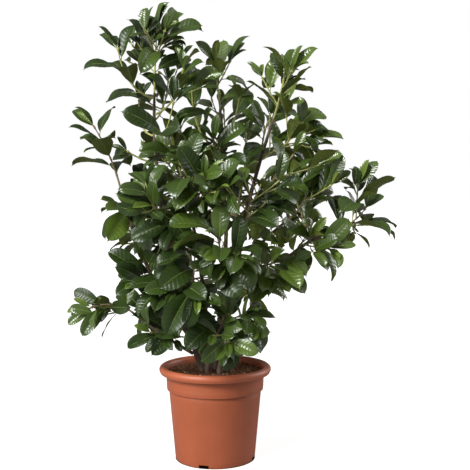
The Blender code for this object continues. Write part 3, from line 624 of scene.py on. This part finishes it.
# A pattern on a material: noise on Object coordinates mixes two or three colours by a ramp and runs
# between two values of roughness, and other noise gives the bumps. stretch and bumpStretch squeeze the
# noise along each axis.
def newPattern(name, colours, scale, roughness, bumpScale, bumpDepth, gloss=0.5,
               stretch=(1, 1, 1), bumpStretch=(1, 1, 1)):
    material = newMaterial(name, colours[0], roughness[0], gloss)
    nodes, links = material.node_tree.nodes, material.node_tree.links
    shader = nodes["Principled BSDF"]
    place = nodes.new("ShaderNodeTexCoord")

    def noise(scale, stretch, detail):
        mapping = setInputs(nodes.new("ShaderNodeMapping"), {"Scale": stretch})
        links.new(place.outputs["Object"], mapping.inputs["Vector"])
        texture = nodes.new("ShaderNodeTexNoise")
        setInputs(texture, {"Scale": scale, "Detail": detail, "Roughness": 0.6})
        links.new(mapping.outputs["Vector"], texture.inputs["Vector"])
        return texture.outputs["Fac"]

    spots = noise(scale, stretch, 5)
    ramp = nodes.new("ShaderNodeValToRGB")
    elements = ramp.color_ramp.elements
    while len(elements) < len(colours):
        elements.new(0.5)
    for element, share, colour in zip(elements, np.linspace(0.34, 0.66, len(colours)), colours):
        element.position = share
        element.color = (*colour, 1)
    links.new(spots, ramp.inputs["Fac"])
    links.new(ramp.outputs["Color"], shader.inputs["Base Color"])
    least, most = roughness
    rough = setInputs(nodes.new("ShaderNodeMapRange"), {"To Min": least, "To Max": most})
    links.new(spots, rough.inputs["Value"])
    links.new(rough.outputs["Result"], shader.inputs["Roughness"])
    bump = setInputs(nodes.new("ShaderNodeBump"), {"Strength": 0.6, "Distance": bumpDepth})
    links.new(noise(bumpScale, bumpStretch, 3), bump.inputs["Height"])
    links.new(bump.outputs["Normal"], shader.inputs["Normal"])
    return material


# Meshes, each as its vertices and groups of faces with the same number of corners

def joined(parts):
    starts = np.cumsum([0] + [len(vertices) for vertices, _ in parts])
    vertices = np.concatenate([vertices for vertices, _ in parts])
    groups = []
    for kind in range(len(parts[0][1])):
        groups.append(np.concatenate([part[1][kind] + start for part, start in zip(parts, starts)]))
    return vertices, groups


# The faces of one shape of size points, again for each of count shapes that follow on one another.
def repeated(faces, count, size):
    return (faces[None] + np.arange(count)[:, None, None] * size).reshape(-1, faces.shape[1])


def newObject(name, data):
    piece = bpy.data.objects.new(name, data)
    bpy.context.scene.collection.objects.link(piece)
    return piece


# Puts a mesh into the scene as one piece. Edges that bend more than creaseDegrees are sharp, and so are
# those whose two ends carry the same number in creases, unless it is below zero.
def newPiece(name, mesh, materials, nodes, creaseDegrees=60, faceSlots=None, creases=None):
    vertices, groups = mesh
    data = bpy.data.meshes.new(name)
    data.from_pydata(vertices.tolist(), [], faceList(groups))
    for material in materials:
        data.materials.append(material)
    if faceSlots is not None:
        data.polygons.foreach_set("material_index", np.asarray(faceSlots, np.int32))
    data.shade_smooth()
    data.set_sharp_from_angle(angle=math.radians(creaseDegrees))
    if creases is not None:
        ends, sharp = np.empty(len(data.edges) * 2, np.int32), np.empty(len(data.edges), bool)
        data.edges.foreach_get("vertices", ends)
        data.edges.foreach_get("use_edge_sharp", sharp)
        ends = creases[ends].reshape(-1, 2)
        data.edges.foreach_set("use_edge_sharp", sharp | ((ends[:, 0] == ends[:, 1]) & (ends[:, 0] >= 0)))
    piece = newObject(name, data)
    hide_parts(*nodes)
    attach(piece, body)
    print(name, len(data.polygons), "faces")


# Smooth noise from -1 to 1: random values on a lattice, blended between its points by the curve that
# leaves each flat. It repeats after period steps of x and 64 of y.
def smoothNoise(x, y, period, seed):
    table = np.random.default_rng(seed).uniform(-1, 1, (64, period))
    column, row = np.floor(x).astype(int), np.floor(y).astype(int)
    u, v = x - column, y - row
    u, v = u * u * (3 - 2 * u), v * v * (3 - 2 * v)

    def along(row):
        return table[row % 64, column % period] * (1 - u) + table[row % 64, (column + 1) % period] * u

    return along(row) * (1 - v) + along(row + 1) * v


# Leaves

blade = Table(
    stalk=0.10,             # share of a leaf's length that is bare stalk
    rows=20,                # even: each second row is a side vein
    columns=6,
    rowBunching=1.2,        # above 1, the rows stand closer towards the tip
    widthShare=0.46, width=(0.82, 1.02), youngWidth=(0.62, 0.78), leastWidth=0.012,
    baseCurve=0.80,         # how slowly the blade widens from its foot
    endCurve=0.56,          # how bluntly it rounds off
    bodyEnd=0.95,           # where the rounded end gives way to the drawn-out tip
    tipWidth=0.17, tipRun=0.12,
    curlFrom=0.70, tipCurl=(0.001, 0.012),
    veinSweep=0.15, veinDepth=0.00075, thickness=0.0006,
    veinFade=0.7,           # share of the veins' depth that is lost by the margin
    fold=(0.06, 0.58), youngFold=(0.35, 0.80), foldNarrows=0.8,
    foldRise=(1.25, 0.45),  # how steeply the sides rise from the midrib, and what the margin loses of it
    wave=0.09, waveTurns=9,
    waveSplit=1.3,          # how far the two margins' waves are out of step
)

# Leaf colours from the oldest to the youngest: upper side, underside, how rough the upper side is
# and how strongly it mirrors.
leafTints = {
    "deep": ((0.025, 0.048, 0.008), (0.118, 0.149, 0.029), 0.34, 0.42),
    "mature": ((0.043, 0.078, 0.011), (0.136, 0.172, 0.034), 0.30, 0.66),
    "mid": ((0.062, 0.107, 0.013), (0.160, 0.200, 0.038), 0.28, 0.88),
    "bright": ((0.090, 0.146, 0.018), (0.180, 0.226, 0.043), 0.29, 0.98),
    "young": ((0.130, 0.198, 0.028), (0.186, 0.258, 0.056), 0.32, 0.75),
}

# How tints are dealt: the usual one at the foot of the crown, what the height, the distance from the
# axis and a place at a twig's tip add, and how much sprays and leaves stray. The last number is the
# share of the young tip leaves that have the youngest tint.
dealt = Table(
    seed=77, usual=0.45, foot=0.25, height=0.9, byHeight=1.0, radius=0.35, byRadius=0.6,
    tipFrom=0.86, atTip=0.8, sprays=0.75, leaves=0.45, pale=0.25,
)


# Half the blade's width at a share of its run, 1 at the widest: a power of the distance from the foot
# times a power of the distance from the end, joined smoothly to a narrow drawn-out tip.
def halfWidth(share):
    run = np.clip(share / blade.bodyEnd, 0, 1)
    a, b = blade.baseCurve, blade.endCurve
    peak = (a / (a + b)) ** a * (b / (a + b)) ** b
    rounded = run**a * (1 - run) ** b / peak
    drawnOut = blade.tipWidth * np.clip((1 - share) / blade.tipRun, 0, 1) * np.clip(share * 4, 0, 1)
    return (rounded**3 + drawnOut**3) ** (1 / 3)


# How far the end of a leaf hooks down past its arc: the cube of the run past the start of the hook.
def tipDrop(leaves, run):
    past = np.clip((run - blade.curlFrom) / (1 - blade.curlFrom), 0, 1)
    return leaves["curl"][:, None, None] * past**3


# Upper and lower skin of each blade on one grid of rows along it and columns across. Rows bend forward
# from the midrib as the side veins do. Every second one is a vein: it lies lower and is creased, so the
# blade is quilted between its veins. The sides fold up and level out again, and the margin waves. Both
# skins' faces start at the same corner, so that they split along the same diagonals and never cross.
def bladeMesh(chosen):
    leaves, count = leafArrays(chosen, placedBy + shapedBy), len(chosen)
    length, fold, phase, broad = (leaves[key][:, None, None] for key in ("length", "fold", "phase", "width"))
    rows, columns = blade.rows, blade.columns
    row = np.arange(rows + 1)[None, :, None]
    v = np.linspace(-1, 1, columns + 1)[None, None, :]
    across = np.abs(v)
    run = 1 - (1 - row / rows) ** blade.rowBunching
    run = run + blade.veinSweep * across * 4 * run * (1 - run)
    share = np.broadcast_to(blade.stalk + (1 - blade.stalk) * run, (count, rows + 1, columns + 1))
    width = length * blade.widthShare / 2 * broad * np.maximum(halfWidth(run), blade.leastWidth)
    relief = blade.veinDepth * np.where(row % 2 == 0, -1.0, 1.0) * np.sin(np.pi * np.clip(run, 0, 1)) ** 0.5
    relief = relief * np.minimum(across * 4, 1) * (1 - blade.veinFade * across**3) * (length / 0.1)
    lift = relief + width * fold * (blade.foldRise[0] * across - blade.foldRise[1] * across**3)
    waves = np.sin(blade.waveTurns * run + phase + blade.waveSplit * np.sign(v))
    lift = lift + width * blade.wave * across**2 * waves
    lift = lift - tipDrop(leaves, run)
    sideways = width * v * np.cos(fold * blade.foldNarrows)
    upper = leafPoints(leaves, share, sideways, lift)
    thick = blade.thickness * (1 - across**4) * (length / 0.1) ** 0.5
    lower = leafPoints(leaves, share, sideways, lift - thick)[:, 1:-1, 1:-1]
    size = (rows + 1) * (columns + 1)
    upperIndex = np.arange(size).reshape(rows + 1, columns + 1)
    lowerIndex = upperIndex.copy()
    lowerIndex[1:-1, 1:-1] = size + np.arange((rows - 1) * (columns - 1)).reshape(rows - 1, columns - 1)
    top, bottom = gridFaces(upperIndex), gridFaces(lowerIndex)[:, [0, 3, 2, 1]]
    points = np.concatenate([upper.reshape(count, -1, 3), lower.reshape(count, -1, 3)], axis=1)
    faces = repeated(np.concatenate([top, bottom]), count, points.shape[1])
    sides = np.tile(np.repeat([0, 1], len(top)), count)
    ofRow = np.concatenate([np.repeat(np.arange(rows + 1), columns + 1),
                            np.repeat(np.arange(1, rows), columns - 1)])
    creases = np.where(ofRow % 2 == 0, ofRow + np.arange(count)[:, None] * (rows + 1), -1).ravel()
    return (points.reshape(-1, 3), [faces]), sides, creases


# The four-cornered faces of a grid of point numbers, facing the side that a leaf's up points to.
def gridFaces(index):
    corners = [index[:-1, :-1], index[:-1, 1:], index[1:, 1:], index[1:, :-1]]
    return np.stack(corners, -1).reshape(-1, 4)


rib = Table(rings=12, sides=5, end=0.965, footRadius=0.0016, stalkRadius=0.00115, tipRadius=0.00040)


# Stalk and midrib as one tapering tube that follows the leaf's own arc and stands a little proud of
# both its sides.
def ribMesh(chosen):
    leaves, count = leafArrays(chosen, placedBy + shapedBy), len(chosen)
    share = rib.end * np.linspace(0, 1, rib.rings) ** blade.rowBunching
    radii = [rib.footRadius, rib.stalkRadius, rib.stalkRadius * 0.9, rib.tipRadius]
    radius = np.interp(share, [0, 0.03, blade.stalk, rib.end], radii)
    angle = -2 * math.pi * np.arange(rib.sides) / rib.sides
    ring = radius[None, :, None] * (leaves["length"] / 0.11)[:, None, None] ** 0.7
    share = np.broadcast_to(share[None, :, None], (count, rib.rings, rib.sides))
    run = np.clip((share - blade.stalk) / (1 - blade.stalk), 0, 1)
    sunk = -0.25 * ring - tipDrop(leaves, run)
    points = leafPoints(leaves, share, ring * np.cos(angle), sunk + ring * np.sin(angle))
    faces = (ringFaces(rib.rings, rib.sides), endFaces(rib.rings, rib.sides))
    return points.reshape(-1, 3), [repeated(group, count, rib.rings * rib.sides) for group in faces]


# Each spray has a tint of its own, lighter high up and outside, and each leaf may stray from it. The mass's
# shift adds painted light and painted shade as well as age.
def dealTints(leaves):
    draw = random.Random(dealt.seed)
    tints = {}
    for leaf in leaves:
        spray, young = id(leaf["twig"]), leaf.get("young")
        if spray not in tints:
            height = (leaf["root"][2] - dealt.foot) / dealt.height
            outside = math.hypot(leaf["root"][0], leaf["root"][1]) / dealt.radius
            usual = dealt.usual + dealt.byHeight * height + dealt.byRadius * outside
            # the mass's tint shift is partly painted light and painted shade
            tints[spray] = draw.gauss(usual + masses[leaf["twig"]["mass"]].tint, dealt.sprays)
        atTip = dealt.atTip if leaf["place"] > dealt.tipFrom else 0
        tint = tints[spray] + draw.gauss(0, dealt.leaves) + atTip
        pale = young and draw.random() < dealt.pale
        leaf["tint"] = 4 if pale else int(min(max(round(tint), 0), 3))
        leaf["fold"] = draw.uniform(*(blade.youngFold if young else blade.fold))
        leaf["curl"] = draw.uniform(*blade.tipCurl) * leaf["length"] / 0.11
        leaf["phase"] = draw.uniform(0, 2 * math.pi)
        leaf["width"] = draw.uniform(*(blade.youngWidth if young else blade.width))


dealTints(leaves)
for index, (tint, (upper, under, roughness, gloss)) in enumerate(leafTints.items()):
    skins = [newMaterial(f"laurel leaf {tint} upper", upper, roughness, gloss),
             newMaterial(f"laurel leaf {tint} under", under, 0.6, 0.25)]
    mesh, sides, creases = bladeMesh([leaf for leaf in leaves if leaf["tint"] == index])
    newPiece("leaves_" + tint, mesh, skins, massNodes, faceSlots=sides, creases=creases)

ribGreen = newMaterial("laurel leaf rib", (0.205, 0.262, 0.072), 0.45)
newPiece("leaf_ribs", ribMesh(leaves), [ribGreen], massNodes)


# Twigs

twigLook = Table(
    sides=8, ringSpacing=0.004, nodeSwell=0.00075, nodeReach=0.0035, budLength=0.010, budRadius=0.0019,
    budShape=((0.15, 1.0), (0.45, 0.85), (0.75, 0.45), (1.0, 0.04)),    # shares of length and radius
    brownBelow=0.70,        # a mass's own stem is brown where it starts lower
    colours={"green": (0.400, 0.400, 0.125), "brown": (0.240, 0.165, 0.095)},
)


# A twig's radius tapers evenly and swells at each leaf's foot, and its tip closes in a bud.
def twigMesh(twig):
    run = runLength(bentLine(*twig["control"], 20))
    t = np.linspace(0, 1, max(6, round(run / twigLook.ringSpacing)))
    points = bentCurve(*twig["control"], t)
    radii = twig["radius"] + (min(rule.twigTipRadius, twig["radius"]) - twig["radius"]) * t
    for place in twig["places"]:
        radii = radii + twigLook.nodeSwell * np.exp(-(((t - place) * run / twigLook.nodeReach) ** 2))
    tip, along = points[-1], unit(points[-1] - points[-2])
    budRun, budWidth = np.array(twigLook.budShape).T
    points = np.concatenate([points, tip + along * (budRun[:, None] * twigLook.budLength)])
    radii = np.concatenate([radii, twigLook.budRadius * budWidth])
    return tubeMesh(points, radii, twigLook.sides)


for twig in twigs:
    old = twig["radius"] == rule.twigRadius and twig["line"][0][2] < twigLook.brownBelow
    twig["wood"] = "brown" if old else "green"
for wood, colour in twigLook.colours.items():
    chosen = [twigMesh(twig) for twig in twigs if twig["wood"] == wood]
    material = newMaterial(f"{wood} laurel twig", colour, 0.5)
    newPiece("twigs_" + wood, joined(chosen), [material], massNodes)


# Stems and boughs, in bark

bark = Table(
    sides=22, ringSpacing=0.0032,
    ridge=0.00040, ridges=9, ridgeLength=0.022, grain=0.00018, grains=22, grainLength=0.0045,
    scarSpacing=0.031, scarSwell=0.0011, scarLength=0.0028,
    narrowsFrom=0.95, endRadius=0.0029, usualRadius=0.006,
    colours=((0.050, 0.032, 0.023), (0.120, 0.078, 0.054), (0.235, 0.170, 0.125)),
)


# A limb's radius: its taper and flare, long ridges and fine grain of noise round and along it, and at
# even spaces a leaf scar that swells one side, each a golden turn on from the last.
def barkMesh(limb, seed):
    run = runLength(bentLine(*limb["control"], 40))
    rings = round(run / bark.ringSpacing)
    points = bentLine(*limb["control"], rings - 1)
    radii = limbRadii(points, *limb["ends"])
    narrowing = np.clip((np.linspace(0, 1, rings) - bark.narrowsFrom) / (1 - bark.narrowsFrom), 0, 1)
    radii = radii + (np.minimum(radii, bark.endRadius) - radii) * narrowing
    distance = np.linspace(0, run, rings)[:, None]
    side = np.arange(bark.sides)[None] / bark.sides
    relief = bark.ridge * smoothNoise(side * bark.ridges, distance / bark.ridgeLength, bark.ridges, seed)
    grain = smoothNoise(side * bark.grains, distance / bark.grainLength, bark.grains, seed + 1)
    relief = relief + bark.grain * grain
    for number, scar in enumerate(np.arange(bark.scarSpacing, run, bark.scarSpacing)):
        facing = 0.5 + 0.5 * np.cos(2 * math.pi * side - number * rule.goldenTurn)
        swell = np.exp(-(((distance - scar) / bark.scarLength) ** 2))
        relief = relief + bark.scarSwell * facing**3 * swell
    return tubeMesh(points, radii[:, None] + relief * (radii[:, None] / bark.usualRadius), bark.sides)


barkMaterial = newPattern("laurel bark", bark.colours, 60, (0.62, 0.85), 420, 0.0006,
                          stretch=(1, 1, 0.25), bumpStretch=(1, 1, 0.35))
barkParts = [barkMesh(limb, 300 + 2 * number) for number, limb in enumerate(limbs.values())]
newPiece("bark", joined(barkParts), [barkMaterial], list(limbShapes))


# Pot

pot = Table(
    height=0.235, rimRadius=0.1405, rimDepth=0.019, mouthRadius=0.1225, neckRadius=0.1242,
    bandFoot=0.1805, bandFootRadius=0.1212, stepDepth=0.006, bodyTopRadius=0.1160, baseRadius=0.1000,
    wall=0.0026, floor=0.0035, footRing=0.0915, footRecess=0.0025, sides=168,
    notches=4, notchBearing=math.radians(-105), notchWidth=0.025, notchHeight=0.0080, notchDepth=0.012,
)


# Points of a profile as radius and height, each some steps out and up from one point.
def stepsFrom(radius, height, *steps):
    return [(radius + out, height + up) for out, up in steps]


# The pot's wall as radius and height: from the middle of the underside out over the foot ring, up the
# leaning wall and over the step and bead of the neck band, round the rolled rim and down inside.
def potProfile():
    rimFoot = pot.height - pot.rimDepth
    stepFoot = pot.bandFoot - pot.stepDepth
    lean = (pot.bodyTopRadius - pot.baseRadius) / stepFoot
    outside = [
        (0.0, pot.footRecess),
        *stepsFrom(pot.footRing, pot.footRecess, (-0.004, 0.0), (0.0, 0.0)),
        *stepsFrom(pot.footRing, 0.0, (0.0006, 0.0004), (0.0014, 0.0)),
        *stepsFrom(pot.baseRadius, 0.0, (-0.0022, 0.0), (-0.0006, 0.0006), (0.0, 0.0022)),
    ]
    for height in np.linspace(0.0022, stepFoot - 0.002, 14)[1:]:
        outside.append((pot.baseRadius + lean * height, height))
    outside += stepsFrom(pot.bodyTopRadius, stepFoot, (-0.0006, -0.0004), (-0.0002, 0.0004))
    outside += stepsFrom(pot.bandFootRadius, stepFoot, (-0.0012, 0.0010), (-0.0003, 0.0018), (0.0, 0.0032))
    outside += stepsFrom(pot.bandFootRadius, pot.bandFoot,
                         (0.0001, 0.0010), (0.0004, 0.0030), (0.0006, 0.0042), (0.0004, 0.0056))
    for share in (0.3, 0.6, 0.85, 1.0):
        radius = pot.bandFootRadius + (pot.neckRadius - pot.bandFootRadius) * share
        outside.append((radius + 0.0002, pot.bandFoot + 0.008 + (rimFoot + 0.002 - pot.bandFoot) * share))
    outside += stepsFrom(pot.rimRadius, rimFoot, (-0.0085, 0.0100), (-0.0068, 0.0085), (-0.0062, 0.0020),
                         (-0.0054, 0.0004), (-0.0044, 0.0), (-0.0032, 0.0008))
    roll = np.radians(np.linspace(-45, 172, 22))
    middle = ((pot.mouthRadius + pot.rimRadius) / 2, rimFoot + pot.rimDepth / 2)
    half = ((pot.rimRadius - pot.mouthRadius) / 2, pot.rimDepth / 2)
    rim = np.stack([middle[0] + half[0] * np.cos(roll), middle[1] + half[1] * np.sin(roll)], 1)
    inside = [
        *stepsFrom(pot.mouthRadius, rimFoot, (0.0, 0.008), (-0.0004, 0.004)),
        (pot.bandFootRadius - pot.wall, pot.bandFoot),
        (pot.bodyTopRadius - pot.wall, stepFoot),
        (pot.baseRadius - pot.wall, pot.floor),
        (0.0, pot.floor),
    ]
    return np.concatenate([outside, rim, inside])


# A profile turned about the upright axis: each point at its radius times cosine and sine of the angle.
# The first and last points lie on the axis, and lift sets the heights by radius, height and angle.
def turnedMesh(profile, angles, lift):
    count, sides = len(profile), len(angles)
    radius, height = profile[:, 0][:, None], profile[:, 1][:, None]
    height = lift(radius, np.broadcast_to(height, (count, sides)), angles[None])
    points = np.stack([radius * np.cos(angles), radius * np.sin(angles), height], -1)
    vertices = np.concatenate([points[1:-1].reshape(-1, 3), points[:1, 0], points[-1:, 0]])
    side = np.arange(sides)
    after = (side + 1) % sides
    first = (count - 2) * sides
    lastRing = first - sides
    fans = np.concatenate([
        np.stack([np.full(sides, first), after, side], 1),
        np.stack([np.full(sides, first + 1), lastRing + side, lastRing + after], 1),
    ])
    return vertices, [ringFaces(count - 2, sides), fans]


notchBearings = pot.notchBearing + 2 * math.pi * np.arange(pot.notches) / pot.notches
halfNotch = pot.notchWidth / 2 / pot.baseRadius


# Inside a notch, whatever lies under its top is raised to it, so the foot ring has a gap there.
def liftNotches(radius, height, angles):
    away = np.abs((angles[..., None] - notchBearings + math.pi) % (2 * math.pi) - math.pi).min(-1)
    inNotch = (away < halfNotch) & (radius > pot.baseRadius - pot.notchDepth)
    return np.where(inNotch & (height < pot.notchHeight), pot.notchHeight, height)


def newTerracotta(name, *colours):
    return newPattern(name, colours, 9, (0.40, 0.48), 900, 0.00012)


notchEdges = [bearing + side * halfNotch * edge for bearing in notchBearings for side in (-1, 1)
              for edge in (0.995, 1.005)]
potAngles = np.sort(np.concatenate([np.linspace(0, 2 * math.pi, pot.sides, endpoint=False),
                                    np.array(notchEdges) % (2 * math.pi)]))
# The rolled rim, and what lies level with it inside, is paler than the wall below it: painted light, for the
# light from above that the rim catches.
terracottas = [
    newTerracotta("terracotta plastic",
                  (0.330, 0.079, 0.029), (0.352, 0.086, 0.033), (0.374, 0.093, 0.037)),
    newTerracotta("terracotta plastic with painted rim light",
                  (0.410, 0.102, 0.041), (0.436, 0.111, 0.046), (0.462, 0.120, 0.051)),
]
vertices, groups = turnedMesh(potProfile(), potAngles, liftNotches)
heights = np.concatenate([vertices[group, 2].mean(1) for group in groups])
newPiece("pot_shell", (vertices, groups), terracottas, ["pot"], 32,
         faceSlots=heights > pot.height - pot.rimDepth)


# Soil

soil = Table(
    level=0.222, edgeDrop=0.003, flatRadius=0.062, edgeRadius=0.1216, depth=0.014, rings=46, sides=120,
    lump=0.0016, lumpSpan=0.014, crumb=0.0007, crumbSpan=0.004,
    crumbs=620, crumbSize=(0.0012, 0.0042), crumbStretch=(0.5, 1.1), crumbRough=0.22, paleShare=0.09,
)


# The soil's height: level round the stems, lower towards the wall, with lumps and crumbs of noise.
def soilHeight(x, y):
    drop = np.clip((np.hypot(x, y) - soil.flatRadius) / (soil.edgeRadius - soil.flatRadius), 0, 1)
    lumps = soil.lump * smoothNoise(x / soil.lumpSpan + 20, y / soil.lumpSpan + 20, 64, 41)
    crumbs = soil.crumb * smoothNoise(x / soil.crumbSpan + 90, y / soil.crumbSpan + 90, 64, 42)
    return soil.level - 0.001 - soil.edgeDrop * drop + lumps + crumbs


# The soil's top on rings and angles, closed by a wall and a flat underside out of sight.
def soilMesh():
    angles = 2 * math.pi * np.arange(soil.sides) / soil.sides
    under = soil.level - soil.depth
    profile = [(0.0, under), (soil.edgeRadius - 0.0015, under)]
    profile += [(radius, 0.0) for radius in np.linspace(0, soil.edgeRadius, soil.rings + 1)[::-1]]

    def onSoil(radius, height, angles):
        grown = soilHeight(radius * np.cos(angles), radius * np.sin(angles))
        return np.where(height == 0.0, grown, height)

    return turnedMesh(np.array(profile), angles, onSoil)


# One crumb of soil: the twelve corners of an icosahedron, and a face for each three that are near.
def crumbShape():
    golden = (1 + 5**0.5) / 2
    corners = []
    for a, b in ((1, golden), (1, -golden), (-1, golden), (-1, -golden)):
        corners += [(0, a, b), (a, b, 0), (b, 0, a)]
    corners = np.array(corners, float)
    corners /= np.linalg.norm(corners[0])
    faces = []
    for i, j, k in combinations(range(12), 3):
        p, q, r = corners[[i, j, k]]
        if max(np.linalg.norm([p - q, q - r, p - r], axis=1)) < 1.1:
            faces.append((i, j, k) if np.cross(q - p, r - p) @ p > 0 else (i, k, j))
    return corners, np.array(faces)


# Crumbs strewn over the soil: each is the shape stretched along its own axes, turned and half sunk.
def crumbMesh(count, seed):
    draw = np.random.default_rng(seed)
    corners, faces = crumbShape()
    radius = (soil.edgeRadius - 0.004) * np.sqrt(draw.uniform(0.0, 1, count))
    angle = draw.uniform(0, 2 * math.pi, count)
    x, y = radius * np.cos(angle), radius * np.sin(angle)
    size = draw.uniform(*soil.crumbSize, count)[:, None] * draw.uniform(*soil.crumbStretch, (count, 3))
    rough = 1 + draw.uniform(-soil.crumbRough, soil.crumbRough, (count, 12, 1))
    turn, _ = np.linalg.qr(draw.normal(size=(count, 3, 3)))
    turn = turn * np.sign(np.linalg.det(turn))[:, None, None]
    points = np.einsum("nij,nkj->nki", turn, corners[None] * rough * size[:, None, :])
    points += np.stack([x, y, soilHeight(x, y) + size.min(1) * 0.35], 1)[:, None, :]
    return points.reshape(-1, 3), [repeated(faces, count, 12)]


peat = newPattern("potting soil", [(0.075, 0.033, 0.017), (0.175, 0.082, 0.042), (0.340, 0.185, 0.105)],
                  180, (0.85, 0.98), 700, 0.0012, gloss=0.1)
darkCrumb = newMaterial("dark crumb", (0.140, 0.066, 0.035), 0.95, 0.1)
paleCrumb = newMaterial("pale crumb", (0.480, 0.310, 0.190), 0.9, 0.1)
paleCount = int(soil.crumbs * soil.paleShare)
newPiece("soil_surface", soilMesh(), [peat], ["soil"])
newPiece("soil_crumbs", crumbMesh(soil.crumbs - paleCount, 51), [darkCrumb], ["soil"], 20)
newPiece("soil_pale_crumbs", crumbMesh(paleCount, 52), [paleCrumb], ["soil"], 20)


# Studio: a white floor and wall, a wide soft sun and a small hard one from the upper left front, a weak
# one from behind, and weak even light all round.
studio = Table(
    wallLight=0.25,
    floorGlow=0.88,         # what lifts the floor to the wall's white, seen by the camera alone
    floorColour=(0.32, 0.32, 0.32), floorHalf=30.0,
    suns=(                  # name, place, strength and width in degrees of each, turned to the origin
        ("soft sun", (-2.3, -1.95, 1.4), 2.55, 38),
        ("hard sun", (-1.75, -2.4, 2.5), 2.0, 10),
        ("back sun", (2.4, 0.9, 0.9), 1.5, 38),
    ),
    cameraPlace=(0.05, -2.1, 0.667), cameraDip=2.86, lens=36 * 840 / 470,
)


# Mixes two strengths: one for the camera's own rays and one for all other light.
def cameraOnly(tree, seen, other, socket):
    path = tree.nodes.new("ShaderNodeLightPath")
    mix = setInputs(tree.nodes.new("ShaderNodeMapRange"), {"To Min": other, "To Max": seen})
    tree.links.new(path.outputs["Is Camera Ray"], mix.inputs["Value"])
    tree.links.new(mix.outputs["Result"], socket)


def stageFace(name, corners, height, material):
    data = bpy.data.meshes.new(name)
    data.from_pydata([(x, y, height) for x, y in corners], [], [range(len(corners))])
    data.materials.append(material)
    newObject(name, data)


# The floor, and under the pot a dark round face where no light reaches it.
def newFloor():
    white = newMaterial("white floor", studio.floorColour, 0.9, 0.0)
    shader = setInputs(white.node_tree.nodes["Principled BSDF"], {"Emission Color": (1, 1, 1, 1)})
    cameraOnly(white.node_tree, studio.floorGlow, 0.0, shader.inputs["Emission Strength"])
    half = studio.floorHalf
    stageFace("floor", [(-half, -half), (half, -half), (half, half), (-half, half)], -0.0005, white)
    radius = pot.baseRadius + 0.0005
    ring = [(radius * math.cos(a), radius * math.sin(a)) for a in 2 * math.pi * np.arange(64) / 64]
    dark = newMaterial("shade under pot", (0.012, 0.008, 0.007), 0.9, 0.0)
    stageFace("shade_under_pot", ring, -0.0002, dark)


def newSun(name, place, strength, width):
    data = bpy.data.lights.new(name, "SUN")
    data.energy = strength
    data.angle = math.radians(width)
    light = newObject(name, data)
    light.location = place
    x, y, z = place
    light.rotation_euler = (math.atan2(math.hypot(x, y), z), 0, math.atan2(x, -y))


def newWorld():
    world = bpy.data.worlds.new("studio")
    bpy.context.scene.world = world
    world.use_nodes = True
    background = setInputs(world.node_tree.nodes["Background"], {"Color": (1, 1, 1, 1)})
    cameraOnly(world.node_tree, 1.0, studio.wallLight, background.inputs["Strength"])


def newCamera():
    data = bpy.data.cameras.new("camera")
    data.sensor_width = 36
    data.lens = studio.lens
    camera = newObject("camera", data)
    camera.location = studio.cameraPlace
    camera.rotation_euler = (math.radians(90 - studio.cameraDip), 0, 0)
    bpy.context.scene.camera = camera


newFloor()
newWorld()
for sun in studio.suns:
    newSun(*sun)
newCamera()
bpy.context.scene.view_settings.view_transform = "Standard"
print("studio and camera set")
